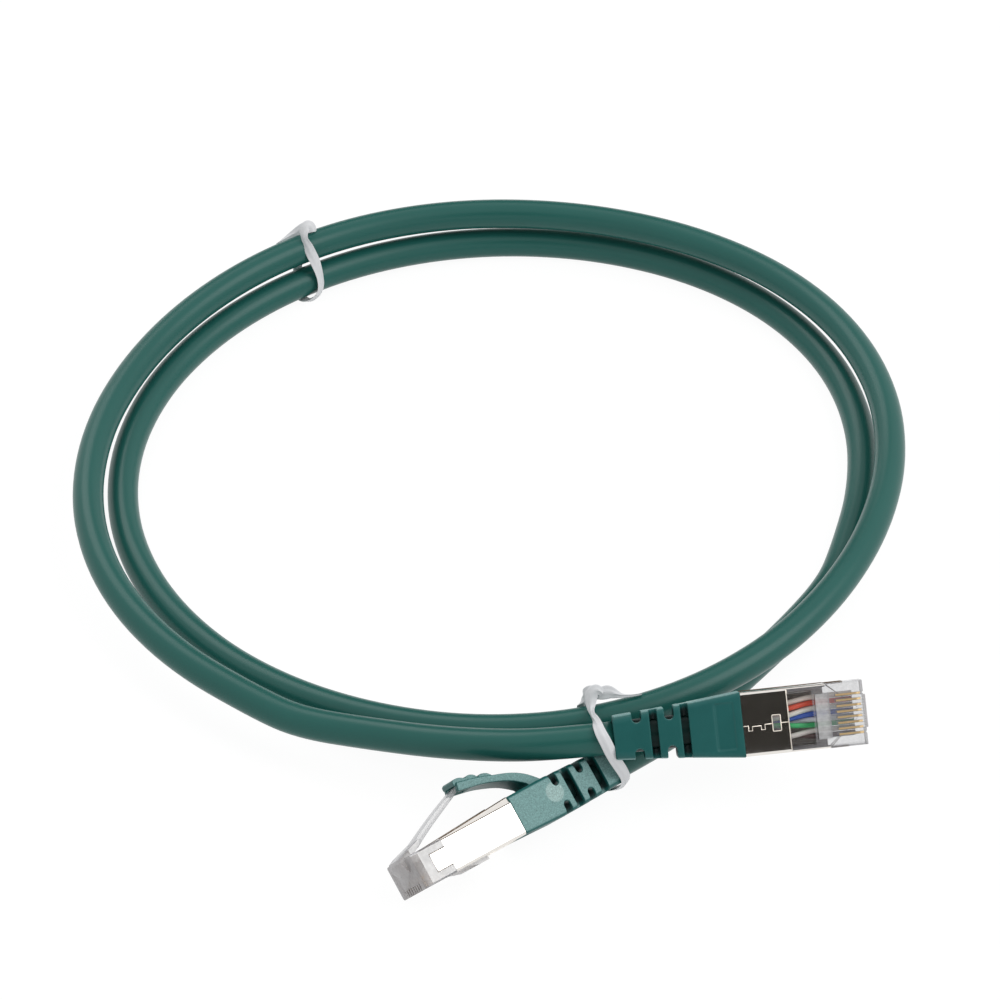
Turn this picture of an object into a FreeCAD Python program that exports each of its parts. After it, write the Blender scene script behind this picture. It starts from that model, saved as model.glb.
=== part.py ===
import FreeCAD, Part
import math
import os

# A one metre shielded patch cable, coiled in two turns and held by two twist ties, with a moulded boot and an
# eight-way plug on each end. Sizes are in millimetres. Plug sizes run back from the front of the nose.

V = FreeCAD.Vector

# Cable
CABLE_DIAMETER = 6.0
FLOOR_FLAT = 0.5
LYING = CABLE_DIAMETER / 2
PRESSED = LYING - FLOOR_FLAT
COIL_CENTRE = (-0.06, 4.04)
COIL_RADIUS = 72.6
COIL_SPREAD = 4.56
SPREAD_START = 252.7
SPREAD_END = 358.9
INNER_WAVES = ((2, 1.27, 41.6), (3, 1.77, 47.2), (4, 0.65, 19.2))
OUTER_WAVES = ((1, 3.13, -108.4), (2, 2.17, 28.9), (3, 0.77, 47.5), (4, 0.92, 24.1))
COIL_KNOTS = ((-18, LYING), (57, PRESSED), (147, 4.0), (214, PRESSED), (302, 10.8), (402, 9.7), (492, 10.1),
              (597, 8.35))
LEAD_A_STUB = 9.0
LEAD_B_STUB = 10.0
BOOT_A_STUB = 9.0
BOOT_B_STUB = 9.5

# Chosen points of the leads: angle round the coil, distance beyond its radius, height
LEAD_A_POINTS = ((612.23, 6.83, 9.2), (622.2, 7.99, 11.2), (631.29, 9.86, 13.1))
LEAD_B_POINTS = ((-61.05, 2.53, 3.4), (-50.22, -1.24, LYING), (-37.28, -2.53, LYING))

ARC_SHARE = 0.45
HEADING_STEP = 0.05
SAME_STRETCH = 60

# How the two plugs lie: the boot's end, measured from the foremost point of the coil's circle, then the way
# that the nose points, and the way that the latch faces
PLUG_A = (20.575, -9.399, 14.761)
POINTS_A = (0.9944, 0.0780, 0.0714)
LATCH_A = (-0.0058, 0.7145, -0.6996)
PLUG_B = (19.839, -9.013, 6.135)
POINTS_B = (-0.7982, -0.6019, 0.0234)
LATCH_B = (-0.4789, 0.6577, 0.5815)

# Moves everything so that the middle of the outline stands at the origin
MIDDLE_X = 0.195
MIDDLE_Y = 14.565

# How far a cutting shape runs past what it cuts
PAST = 1.0

# Plug
PLUG_WIDTH = 11.68
PLUG_THICKNESS = 6.6
VISIBLE_LENGTH = 22.1
BODY_INSIDE = 2.6
BODY_END = VISIBLE_LENGTH - BODY_INSIDE
RAMP_RISE = 0.9
CORNER = 0.3
TOP_BEVEL = 0.84
SHEET = 0.25
PANEL_LENGTH = 8.3
PANEL_FRONT = VISIBLE_LENGTH - PANEL_LENGTH
SIDE_FRONT = 6.75
TONGUE_FRONT = 3.4
TONGUE_HALF = 1.7
WINDOW_TO_BOOT = 6.1
WINDOW_MIDDLE = VISIBLE_LENGTH - WINDOW_TO_BOOT
WINDOW_LENGTH = 1.65
WINDOW_WIDTH = 3.1
SEAM = 0.14
CLINCH_LENGTH = 2.6
CLINCH_TO_BOOT = 2.1
CLINCH_BACK = VISIBLE_LENGTH - CLINCH_TO_BOOT
CLINCH_DEPTH = 1.3
CLINCH_FLARE = 0.4
SEAM_STEP = 0.35
HUMP_FRONT = 9.3
HUMP_RISE = 0.7
HUMP_FLAT = 2.0
HUMP_WIDTH = 9.6

# Contacts and conductors
COLOURS = ("white_orange", "orange", "white_green", "blue", "white_blue", "green", "white_brown", "brown")
WAYS = len(COLOURS)
PITCH = 1.016
BLADE_THICKNESS = 0.36
BLADE_CLEARANCE = 0.03
BLADE_FRONT = 0.45
BLADE_BACK = 5.0
BLADE_CORNER = 0.8
BLADE_RECESS = 0.3
BLADE_TOP = 1.9
BLADE_SLANT = 1.25
TEETH = (2.6, 4.0)
TOOTH_HALF = 0.4
BITE = 0.35
WIRE_DIAMETER = 0.94
WIRE_CLEARANCE = 0.05
WIRE_ROW = -0.2
WIRE_FRONT = 1.9
FAN_FRONT = 9.2
FAN_BACK = 14.6
BUNDLE_PITCH = 0.62
BUNDLE_LAYERS = 1.1
BUNDLE_CLOSING = 0.8
BUNDLE_STRAIGHT = 1.5
FUNNEL_LENGTH = 0.8
CAVITY_WIDTH = 9.2
CAVITY_WALL = 0.7
BAR_FRONT = 6.5
BAR_LENGTH = 2.4
BAR_CLEARANCE = 0.05

# Latch
BASE_WIDTH = 6.0
BEND = (4.3, 5.05)
LATCH_PIVOT = (3.9, 4.0)
BASE_FRONT = ((0, 0.6), (-0.6, 1.5), (-0.9, 2.8), (-0.6, 3.5), (0.5, 4.0))
BASE_ROOT = 2.3
BASE_SINK = 0.3
LEVER_WIDTH = 3.25
LEVER_TO_BOOT = 5.9
LEVER_END = VISIBLE_LENGTH - LEVER_TO_BOOT
LEVER_RISE = 5.3
LEVER_THICKNESS = 1.05
LEVER_FILLET = (1.1, 0.6)
TIP_BEVEL = 0.6

# Boot
BOOT_LENGTH = 23.4
AXIS_RISE = 0.2
BORE_CLEARANCE = 0.05
FERRULE_LENGTH = 5.0
FERRULE_WALL = 0.35
BRAID_WALL = 0.15
BRAID_LENGTH = 4.5
JACKET_BARED = 2.1
JACKET_END = VISIBLE_LENGTH - JACKET_BARED
END_CHAMFER = 0.35
BOOT_SECTIONS = ((0.0, 5.85, -3.95, 4.2, 1.0), (8.9, 5.0, -3.95, 4.3, 1.1), (15.0, 4.55, -3.7, 4.1, 1.3),
                 (BOOT_LENGTH - END_CHAMFER, 4.0, -3.4, 3.8, 1.6),
                 (BOOT_LENGTH, 4.0 - END_CHAMFER, END_CHAMFER - 3.4, 3.8 - END_CHAMFER, 1.6 - END_CHAMFER))
BROAD_SLOTS = (10.35, 16.0)
NARROW_SLOTS = (13.1, 19.0)
BROAD_SLOT_WIDTH = 1.35
NARROW_SLOT_WIDTH = 1.7
SPINE_HALF_THICKNESS = 2.1
SPINE_HALF_WIDTH = 2.35
FRAME_FRONT = 1.4
FRAME_LENGTH = 3.5
FRAME_WIDTH = 8.6
FRAME_DEPTH = 0.25
ARM_WIDTH = 6.4

# Outline of the guard arm: distance behind the front of the boot, height
ARM_PIVOT = (5.7, 5.1)
ARM_NECK = (6.8, 6.55)
ARM_ROOT = ((8.1, 5.4), (9.1, 4.0), (9.1, 3.0), (6.3, 3.0), (6.3, 4.6))
ARM_INSIDE = ((4.5, 5.95), (3.1, 6.8), (0.9, 7.65), (-1.8, 8.4), (-3.8, 8.7), (-6.6, 9.2))
ARM_OUTSIDE = ((-6.2, 10.9), (-2.1, 9.9), (0.5, 9.0), (3.3, 8.1), (5.3, 7.35))
RIB_CENTRES = ((-5.0, 10.35, 1.2), (-2.4, 10.0, 0.9), (-0.1, 9.15, 0.85))
RIB_INSET = 0.5
POCKET_CLEARANCE = 0.35
POCKET_FRONT = -9.2
POCKET_BACK = -3.7
POCKET_SLOPE = 8.5

# Twist ties
RIBBON_WIDTH = 2.4
RIBBON_THICKNESS = 0.4
RIBBON_CLEARANCE = 0.3
TIE_ONE_ANGLE = 124.5
TIE_TWO_MIDDLE = (17.2, -4.44, 0.0)
TIE_TWO_TURN = 13.0
TIE_TWO_SEARCH = (270, 310)
BOOT_END_RADIUS = 5.15
STRAND_RADIUS = 3.2
KNOT_LENGTH = 4.2
KNOT_WIDTH = 2.2
KNOT_THICKNESS = 1.1
KNOT_TURN = 60.0
KNOT_STEPS = 5
KNOT_RISE = 0.5
TIE_ONE_KNOT_ANGLE = 35
TIE_ONE_TAILS = ((20, 6.0), (-75, 6.0))
TIE_TWO_KNOT_RISE = 0.8
TIE_TWO_KNOT_ANGLE = 25
TIE_TWO_TAILS = ((15, 6.0), (-60, 6.0))
TAIL_WIDTH = 1.92
TAIL_OVERLAP = 0.8

NOSE_HALF = PLUG_THICKNESS / 2
HALF_WIDTH = PLUG_WIDTH / 2
RADIUS = CABLE_DIAMETER / 2
BOOT_END = VISIBLE_LENGTH + BOOT_LENGTH
ROUND_BEND = 1 - math.sqrt(0.5)


def unit(vector):
    return V(vector).multiply(1 / vector.Length)


def smooth(value, start, end):
    share = min(max((value - start) / (end - start), 0), 1)
    return share * share * (3 - 2 * share)


def waves(angle, terms):
    return sum(size * math.cos(math.radians(count * (angle - peak))) for count, size, peak in terms)


# The middle of the coiled cable at an angle in degrees, going round twice
def coil_point(angle):
    spread = smooth(angle, SPREAD_START, SPREAD_END)
    radius = COIL_RADIUS + COIL_SPREAD * spread
    radius += waves(angle, INNER_WAVES) * (1 - spread) + waves(angle, OUTER_WAVES) * spread
    turn = math.radians(angle)
    across = radius * math.cos(turn)
    away = radius * math.sin(turn)
    return V(COIL_CENTRE[0] + across, COIL_CENTRE[1] + away, coil_height(angle))


def coil_height(angle):
    for (start, low), (end, high) in zip(COIL_KNOTS, COIL_KNOTS[1:]):
        if angle <= end:
            return low + (high - low) * smooth(angle, start, end)
    return COIL_KNOTS[-1][1]


def coil_heading(angle):
    step = coil_point(angle + HEADING_STEP) - coil_point(angle - HEADING_STEP)
    return unit(V(step.x, step.y, 0))


# An arc that leaves start towards corner and ends at end, as far from corner as start is
def arc_by_corner(start, corner, end):
    middle = (start + end) * 0.5
    cosine = (end - start).Length / 2 / (corner - start).Length
    through = middle + (corner - middle) * (cosine / (1 + cosine))
    return Part.Arc(start, through, end).toShape()


# A point chosen from the foremost point of the coil's circle
def from_front(point):
    return V(COIL_CENTRE[0], COIL_CENTRE[1] - COIL_RADIUS, 0) + V(*point)


def lead_point(angle, beyond, height):
    turn = math.radians(angle)
    radius = COIL_RADIUS + beyond
    return V(COIL_CENTRE[0] + radius * math.cos(turn), COIL_CENTRE[1] + radius * math.sin(turn), height)


# Two tangent arcs from start to end with the given headings
def biarc(start, start_heading, end, end_heading):
    gap = end - start
    both = start_heading + end_heading
    a = 2 * (start_heading.dot(end_heading) - 1)
    b = -2 * gap.dot(both)
    c = gap.dot(gap)
    reach = (-b - math.sqrt(b * b - 4 * a * c)) / (2 * a)
    first = start + start_heading * reach
    second = end - end_heading * reach
    joint = (first + second) * 0.5
    return [arc_by_corner(start, first, joint), arc_by_corner(joint, second, end)]


def round_profile(centre, heading, radius):
    return Part.Wire([Part.Circle(centre, heading, radius).toShape()])


def tube(edges, radius):
    path = Part.Wire(edges)
    start = edges[0].valueAt(edges[0].FirstParameter)
    heading = unit(edges[0].tangentAt(edges[0].FirstParameter))
    return path.makePipeShell([round_profile(start, heading, radius)], True, False), path.Length


# Straight runs joined by tangent arcs, each as large as its two runs allow
def route(points):
    edges = []
    radii = []
    last = points[0]
    for before, corner, after in zip(points, points[1:], points[2:]):
        back = unit(before - corner)
        on = unit(after - corner)
        reach = ARC_SHARE * min((before - corner).Length, (after - corner).Length)
        start = corner + back * reach
        end = corner + on * reach
        edges.append(Part.LineSegment(last, start).toShape())
        edges.append(arc_by_corner(start, corner, end))
        radii.append(reach / math.tan((math.pi - back.getAngle(on)) / 2))
        last = end
    edges.append(Part.LineSegment(last, points[-1]).toShape())
    return edges, radii


def make_coil():
    edges = []
    for (start, _), (end, _) in zip(COIL_KNOTS, COIL_KNOTS[1:]):
        edges += biarc(coil_point(start), coil_heading(start), coil_point(end), coil_heading(end))
    solid, length = tube(edges, RADIUS)
    report_gap(edges)
    report_volume("cable_coil", solid, length, RADIUS)
    half = 2 * COIL_RADIUS
    return solid.cut(Part.makeBox(2 * half, 2 * half, RADIUS, V(-half, -half, -RADIUS)))


# The least gap between two turns, measured between points about a millimetre apart along the tube's middle
def report_gap(edges):
    points = []
    travelled = 0
    for edge in edges:
        steps = int(edge.Length)
        span = edge.LastParameter - edge.FirstParameter
        for index in range(steps):
            share = index / steps
            points.append((travelled + edge.Length * share, edge.valueAt(edge.FirstParameter + span * share)))
        travelled += edge.Length
    gaps = [(one - other).Length for at, one in points for to, other in points if to - at > SAME_STRETCH]
    print("least gap between the coil's turns, mm", round(min(gaps) - CABLE_DIAMETER, 2))


def report_volume(name, solid, length, radius):
    share = solid.Volume / (math.pi * radius * radius * length)
    print(name, "length", round(length, 1), "volume against section times length", round(share, 4))


def make_lead(name, points):
    edges, radii = route(points)
    print(name, "radii", [round(radius) for radius in radii])
    solid, length = tube(edges, RADIUS)
    report_volume(name, solid, length, RADIUS)
    return solid


# Plug pieces lie in their own frame: x is minus the distance behind the nose, z points to the latch side
def block(front, back, left, right, low, high):
    return Part.makeBox(back - front, right - left, high - low, V(-back, left, low))


# A solid of constant width from an outline of (distance behind the nose, height) points
def slab(points, left, right):
    corners = [V(-behind, left, height) for behind, height in points]
    face = Part.Face(Part.makePolygon(corners + corners[:1]))
    return face.extrude(V(0, right - left, 0))


def rod(front, back, radius, height):
    return Part.makeCylinder(radius, back - front, V(-back, 0, height), V(1, 0, 0))


# The plug's section at a distance behind the nose, drawn in by inset
def body_section(behind, inset):
    rise = RAMP_RISE * max(behind - SIDE_FRONT, 0) / (VISIBLE_LENGTH - SIDE_FRONT)
    half = HALF_WIDTH - inset
    low = -NOSE_HALF + inset
    top = NOSE_HALF + rise - inset
    shoulder = NOSE_HALF - CORNER - inset / 2
    bevel = TOP_BEVEL * rise / RAMP_RISE + CORNER
    outline = [(half - CORNER, low), (half, low + CORNER), (half, shoulder), (half - bevel, top)]
    outline += [(-y, z) for y, z in reversed(outline)]
    corners = [V(-behind, y, z) for y, z in outline]
    return Part.makePolygon(corners + corners[:1])


def body_solid(front, back, inset):
    stations = [front, back]
    if front < SIDE_FRONT < back:
        stations.insert(1, SIDE_FRONT)
    return Part.makeLoft([body_section(behind, inset) for behind in stations], True, True)


def fuse_all(shapes):
    return shapes[0].multiFuse(shapes[1:]).removeSplitter() if len(shapes) > 1 else shapes[0]


# The formed sheet before its window and seam are cut: open at both ends, stepped back at its front
def shield_shell():
    start = TONGUE_FRONT - PAST
    inside = body_solid(start, VISIBLE_LENGTH + PAST, SHEET)
    wide = HALF_WIDTH + PAST
    tall = NOSE_HALF + RAMP_RISE + PAST
    flat = HALF_WIDTH - CORNER
    cuts = [block(start, SIDE_FRONT, -wide, wide, TONGUE_HALF, tall),
            block(start, SIDE_FRONT, -wide, wide, -tall, -TONGUE_HALF),
            block(start, PANEL_FRONT, -flat, flat, -tall, SHEET - NOSE_HALF)]
    return body_solid(TONGUE_FRONT, VISIBLE_LENGTH, 0).cut(inside).cut(fuse_all(cuts))


# The joint line along the contact panel: straight, then round a flared tongue that locks the two edges
def seam_cutter():
    foot = CLINCH_LENGTH / 2
    neck = foot - CLINCH_FLARE
    middle = CLINCH_BACK - foot
    line = [(PANEL_FRONT - PAST, 0), (WINDOW_MIDDLE, 0), (WINDOW_MIDDLE, SEAM_STEP), (middle - neck, SEAM_STEP),
            (middle - foot, CLINCH_DEPTH), (middle + foot, CLINCH_DEPTH), (middle + neck, SEAM_STEP),
            (VISIBLE_LENGTH + PAST, SEAM_STEP)]
    pieces = []
    for (start_x, start_y), (end_x, end_y) in zip(line, line[1:]):
        length = math.hypot(end_x - start_x, end_y - start_y)
        strip = Part.makeBox(length + SEAM, SEAM, PAST, V(-SEAM / 2, -SEAM / 2, 0))
        strip.rotate(V(0, 0, 0), V(0, 0, 1), math.degrees(math.atan2(end_y - start_y, start_x - end_x)))
        strip.translate(V(-start_x, start_y, -NOSE_HALF - PAST / 2))
        pieces.append(strip)
    return fuse_all(pieces)


def make_shield():
    half_length = WINDOW_LENGTH / 2
    half_width = WINDOW_WIDTH / 2
    window = block(WINDOW_MIDDLE - half_length, WINDOW_MIDDLE + half_length, -half_width, half_width,
                   -NOSE_HALF - PAST, -NOSE_HALF + PAST)
    return shield_shell().cut(window).cut(seam_cutter())


def wire_row():
    return [(index - (WAYS - 1) / 2) * PITCH for index in range(WAYS)]


# Clear body: nose with open blade slots, latch base, hump, wire channel, bar pocket and cable cavity
def make_housing():
    solid = body_solid(0, BODY_END, 0)
    inner = [(BASE_ROOT, NOSE_HALF), (BASE_ROOT, NOSE_HALF - BASE_SINK)]
    inner.append((BASE_FRONT[-1][0], BASE_FRONT[0][1]))
    base = slab([*BASE_FRONT, BEND, LATCH_PIVOT, *inner], -BASE_WIDTH / 2, BASE_WIDTH / 2)
    hump = slab([(HUMP_FRONT, -NOSE_HALF), (PANEL_FRONT, -NOSE_HALF), (PANEL_FRONT, -NOSE_HALF - HUMP_RISE),
                 (PANEL_FRONT - HUMP_FLAT, -NOSE_HALF - HUMP_RISE)], -HUMP_WIDTH / 2, HUMP_WIDTH / 2)
    solid = fuse_all([solid, base, hump])
    half_row = WAYS * PITCH / 2
    channel_low = WIRE_ROW - WIRE_DIAMETER / 2 - WIRE_CLEARANCE
    channel_high = WIRE_ROW + WIRE_DIAMETER / 2 + WIRE_CLEARANCE
    start = WIRE_FRONT - WIRE_CLEARANCE
    cuts = [block(start, FAN_FRONT + PAST, -half_row, half_row, channel_low, channel_high)]
    half_cavity = CAVITY_WIDTH / 2
    cavity_low = -NOSE_HALF + SHEET + CAVITY_WALL
    cavity_high = NOSE_HALF - SHEET - CAVITY_WALL
    funnel = FAN_FRONT - FUNNEL_LENGTH
    behind = BODY_END + PAST
    cavity = [(funnel, channel_low), (funnel, channel_high), (PANEL_FRONT, cavity_high)]
    cavity += [(behind, cavity_high), (behind, cavity_low), (PANEL_FRONT, cavity_low)]
    cuts.append(slab(cavity, -half_cavity, half_cavity))
    half_pocket = half_row + BAR_CLEARANCE
    below = -NOSE_HALF - PAST
    bar_back = BAR_FRONT + BAR_LENGTH + BAR_CLEARANCE
    cuts.append(block(BAR_FRONT - BAR_CLEARANCE, bar_back, -half_pocket, half_pocket, below, WIRE_ROW))
    half_slot = BLADE_THICKNESS / 2 + BLADE_CLEARANCE
    back = BLADE_BACK + BLADE_CLEARANCE
    slant = BLADE_FRONT + BLADE_SLANT
    outline = [(-PAST, below), (-PAST, -BLADE_TOP), (BLADE_FRONT, -BLADE_TOP), (slant, channel_low)]
    outline += [(slant, WIRE_ROW), (back, WIRE_ROW), (back, below)]
    for y in wire_row():
        cuts.append(slab(outline, y - half_slot, y + half_slot))
    return solid.cut(fuse_all(cuts)).cut(shield_shell())


# One blade: rounded front corner, and two teeth that pierce the conductor above it
def make_contact(y):
    low = -NOSE_HALF + BLADE_RECESS
    shoulder = WIRE_ROW - WIRE_DIAMETER / 2 - WIRE_CLEARANCE
    point = shoulder + BITE
    left = y - BLADE_THICKNESS / 2
    bottom = V(-BLADE_FRONT - BLADE_CORNER, left, low)
    front = V(-BLADE_FRONT, left, low + BLADE_CORNER)
    rounding = BLADE_CORNER * ROUND_BEND
    bend = V(-BLADE_FRONT - rounding, left, low + rounding)
    outline = [(BLADE_FRONT, -BLADE_TOP), (BLADE_FRONT + BLADE_SLANT, shoulder)]
    for tooth in TEETH:
        outline += [(tooth - TOOTH_HALF, shoulder), (tooth, point), (tooth + TOOTH_HALF, shoulder)]
    outline += [(BLADE_BACK, shoulder), (BLADE_BACK, low)]
    corners = [front] + [V(-behind, left, height) for behind, height in outline] + [bottom]
    edges = [Part.LineSegment(start, end).toShape() for start, end in zip(corners, corners[1:])]
    edges.append(Part.Arc(bottom, bend, front).toShape())
    return Part.Face(Part.Wire(edges)).extrude(V(0, BLADE_THICKNESS, 0))


def make_load_bar():
    half = WAYS * PITCH / 2
    high = WIRE_ROW - WIRE_DIAMETER / 2 - WIRE_CLEARANCE
    back = BAR_FRONT + BAR_LENGTH
    groove = rod(BAR_FRONT, back, WIRE_DIAMETER / 2 + WIRE_CLEARANCE, WIRE_ROW - BAR_CLEARANCE)
    grooves = [groove.translated(V(0, y, 0)) for y in wire_row()]
    return block(BAR_FRONT, back, -half, half, -NOSE_HALF, high).cut(fuse_all(grooves))


# Conductors leave the jacket in two layers, fan out behind the bar and end side by side under the blades
def make_conductor(index, y):
    step = index - (WAYS - 1) / 2
    layer = (index % 2 - 0.5) * BUNDLE_LAYERS
    start = V(-JACKET_END, step * BUNDLE_PITCH, AXIS_RISE + layer)
    middle = V(-FAN_BACK, step * (BUNDLE_PITCH + PITCH) / 2, AXIS_RISE + layer * BUNDLE_CLOSING)
    points = [start, start + V(BUNDLE_STRAIGHT, 0, 0), middle]
    points += [V(-FAN_FRONT, y, WIRE_ROW), V(-WIRE_FRONT, y, WIRE_ROW)]
    edges, _ = route(points)
    return tube(edges, WIRE_DIAMETER / 2)[0]


# The latch's lever, which turns at the end of its base
def make_latch():
    behind, height = LATCH_PIVOT
    slope = LEVER_RISE / (LEVER_END - behind)
    thick = LEVER_THICKNESS * math.hypot(1, slope)
    low = height + LEVER_RISE
    top = low + thick - slope * TIP_BEVEL
    outline = [LATCH_PIVOT, (behind + LEVER_FILLET[0], height + LEVER_FILLET[1]), (LEVER_END, low)]
    outline += [(LEVER_END, low + thick / 2), (LEVER_END - TIP_BEVEL, top)]
    outline += [(BEND[0] + TIP_BEVEL, BEND[1] + TIP_BEVEL), BEND]
    return slab(outline, -LEVER_WIDTH / 2, LEVER_WIDTH / 2)


# A rectangle with round corners, across the plug
def rounded_section(behind, half_width, low, high, radius):
    corners = [(half_width, low, 1, 1), (half_width, high, 1, -1)]
    corners += [(-half_width, high, -1, -1), (-half_width, low, -1, 1)]
    bend = radius * ROUND_BEND
    arcs = []
    for index, (y, z, side, up) in enumerate(corners):
        ends = [V(-behind, y - side * radius, z), V(-behind, y, z + up * radius)]
        before, after = ends if index % 2 == 0 else ends[::-1]
        arcs.append((before, V(-behind, y - side * bend, z + up * bend), after))
    edges = []
    for arc, following in zip(arcs, arcs[1:] + arcs[:1]):
        edges.append(Part.Arc(*arc).toShape())
        edges.append(Part.LineSegment(arc[2], following[0]).toShape())
    return Part.Wire(edges)


# One relief slot with a round floor, open upwards, then turned about the boot's axis
def relief_slot(behind, width, floor, turn):
    half = width / 2
    reach = PLUG_WIDTH
    middle = floor + half
    slot = block(behind - half, behind + half, -reach, reach, middle, reach)
    slot = slot.fuse(Part.makeCylinder(half, 2 * reach, V(-behind, -reach, middle), V(0, 1, 0)))
    slot.rotate(V(0, 0, 0), V(1, 0, 0), turn)
    return slot.translated(V(0, 0, AXIS_RISE))


# Pairs across the broad faces, and pairs between them across the narrow sides
def boot_slots():
    cuts = []
    for behind in BROAD_SLOTS:
        for turn in (0, 180):
            cuts.append(relief_slot(VISIBLE_LENGTH + behind, BROAD_SLOT_WIDTH, SPINE_HALF_THICKNESS, turn))
    for behind in NARROW_SLOTS:
        for turn in (90, 270):
            cuts.append(relief_slot(VISIBLE_LENGTH + behind, NARROW_SLOT_WIDTH, SPINE_HALF_WIDTH, turn))
    return fuse_all(cuts)


# Outline points measured behind the front of the boot, as distances behind the nose
def behind_boot(points):
    return [(VISIBLE_LENGTH + behind, height) for behind, height in points]


# Moulded boot: tapered body with crossed relief slots, a framed field, and the root of the latch guard
def make_boot():
    sections = [rounded_section(VISIBLE_LENGTH + station, half, low, high, radius)
                for station, half, low, high, radius in BOOT_SECTIONS]
    solid = Part.makeLoft(sections, True, True)
    root = slab(behind_boot([ARM_PIVOT, ARM_NECK, *ARM_ROOT]), -ARM_WIDTH / 2, ARM_WIDTH / 2)
    solid = fuse_all([solid, root])
    face = BOOT_SECTIONS[0][2]
    field_front = VISIBLE_LENGTH + FRAME_FRONT
    field = block(field_front, field_front + FRAME_LENGTH, -FRAME_WIDTH / 2, FRAME_WIDTH / 2, face - PAST,
                  face + FRAME_DEPTH)
    bore = rod(VISIBLE_LENGTH - PAST, BOOT_END + PAST, RADIUS + BORE_CLEARANCE, AXIS_RISE)
    crimp = RADIUS + BRAID_WALL + FERRULE_WALL + 3 * BORE_CLEARANCE
    pocket = rod(VISIBLE_LENGTH - PAST, VISIBLE_LENGTH + FERRULE_LENGTH, crimp, AXIS_RISE)
    return solid.cut(fuse_all([boot_slots(), bore, pocket])).cut(field)


# The guard over the latch: a thin curved arm with grip ribs and a hooded end that takes the latch's tip
def make_arm():
    outline = behind_boot([ARM_PIVOT, *ARM_INSIDE, *ARM_OUTSIDE, ARM_NECK])
    arm = slab(outline, -ARM_WIDTH / 2, ARM_WIDTH / 2)
    ribs = []
    half = ARM_WIDTH / 2 - RIB_INSET
    for behind, height, radius in RIB_CENTRES:
        middle = V(-VISIBLE_LENGTH - behind, -half, height)
        ribs.append(Part.makeCylinder(radius, 2 * half, middle, V(0, 1, 0)))
    solid = fuse_all([arm] + ribs)
    half_pocket = LEVER_WIDTH / 2 + POCKET_CLEARANCE
    roof = LATCH_PIVOT[1] + LEVER_RISE + LEVER_THICKNESS + POCKET_CLEARANCE
    floor = ARM_PIVOT[1]
    front = VISIBLE_LENGTH + POCKET_FRONT
    back = VISIBLE_LENGTH + POCKET_BACK
    pocket = slab([(front, roof), (LEVER_END + POCKET_CLEARANCE, roof), (back, POCKET_SLOPE), (back, floor),
                   (front, floor)], -half_pocket, half_pocket)
    return solid.cut(pocket)


def ring(front, back, inner, outer):
    return rod(front, back, outer, AXIS_RISE).cut(rod(front - PAST, back + PAST, inner, AXIS_RISE))


# Takes the first, second and third axis to the given ones, and the origin to place
def axes_matrix(x, y, z, place):
    return FreeCAD.Matrix(x.x, y.x, z.x, place.x, x.y, y.y, z.y, place.y, x.z, y.z, z.z, place.z, 0, 0, 0, 1)


def plug_placement(boot_end, points, latch):
    x = unit(V(*points))
    z = V(*latch)
    z = unit(z - x * z.dot(x))
    y = z.cross(x)
    return FreeCAD.Placement(axes_matrix(x, y, z, from_front(boot_end) + x * BOOT_END))


def plug_pieces():
    inner = RADIUS + BORE_CLEARANCE
    braid = inner + BRAID_WALL
    crimp = braid + BORE_CLEARANCE
    pieces = {
        "housing": make_housing(),
        "shield": make_shield(),
        "load_bar": make_load_bar(),
        "latch": make_latch(),
        "boot": make_boot(),
        "boot_arm": make_arm(),
        "braid": ring(VISIBLE_LENGTH, VISIBLE_LENGTH + BRAID_LENGTH, inner, braid),
        "ferrule": ring(VISIBLE_LENGTH, VISIBLE_LENGTH + FERRULE_LENGTH, crimp, crimp + FERRULE_WALL),
        "cable_end": rod(JACKET_END, BOOT_END, RADIUS, AXIS_RISE),
    }
    for index, y in enumerate(wire_row()):
        pieces["contact_%d" % (index + 1)] = make_contact(y)
        pieces["wire_" + COLOURS[index]] = make_conductor(index, y)
    return pieces


def on_circle(x, y, radius, angle):
    return V(x + radius * math.cos(angle), y + radius * math.sin(angle), 0)


# The closed line round circles (across, up, radius) in counter-clockwise order, like a belt round wheels
def belt(circles, grow):
    sides = []
    for (x, y, radius), (next_x, next_y, next_radius) in zip(circles, circles[1:] + circles[:1]):
        way = math.atan2(next_y - y, next_x - x)
        lean = math.acos((radius - next_radius) / math.hypot(next_x - x, next_y - y))
        out = way - lean
        leaves = on_circle(x, y, radius + grow, out)
        sides.append((out, leaves, on_circle(next_x, next_y, next_radius + grow, out)))
    edges = []
    for (x, y, radius), before, after in zip(circles, sides[-1:] + sides[:-1], sides):
        turn = (after[0] - before[0]) % (2 * math.pi)
        through = on_circle(x, y, radius + grow, before[0] + turn / 2)
        edges.append(Part.Arc(before[2], through, after[1]).toShape())
        edges.append(Part.LineSegment(after[1], after[2]).toShape())
    return Part.Face(Part.Wire(edges))


# A ribbon round the circles, with its twisted knot at a point and two tails that lean from the knot's line
def make_tie(circles, knot_at, knot_angle, tails):
    band = belt(circles, RIBBON_CLEARANCE + RIBBON_THICKNESS).cut(belt(circles, RIBBON_CLEARANCE))
    band = band.extrude(V(0, 0, RIBBON_WIDTH))
    band.translate(V(0, 0, -RIBBON_WIDTH / 2))
    knot = twist(KNOT_LENGTH)
    for lean, length in tails:
        corner = V(0, -TAIL_WIDTH / 2, -RIBBON_THICKNESS / 2)
        tail = Part.makeBox(length, TAIL_WIDTH, RIBBON_THICKNESS, corner)
        tail.rotate(V(0, 0, 0), V(0, 0, 1), lean)
        tail.translate(V(KNOT_LENGTH - TAIL_OVERLAP, 0, 0))
        knot = knot.fuse(tail)
    knot.rotate(V(0, 0, 0), V(0, 0, 1), knot_angle)
    knot.translate(V(knot_at[0], knot_at[1], 0))
    return fuse_all([band, knot])


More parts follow.
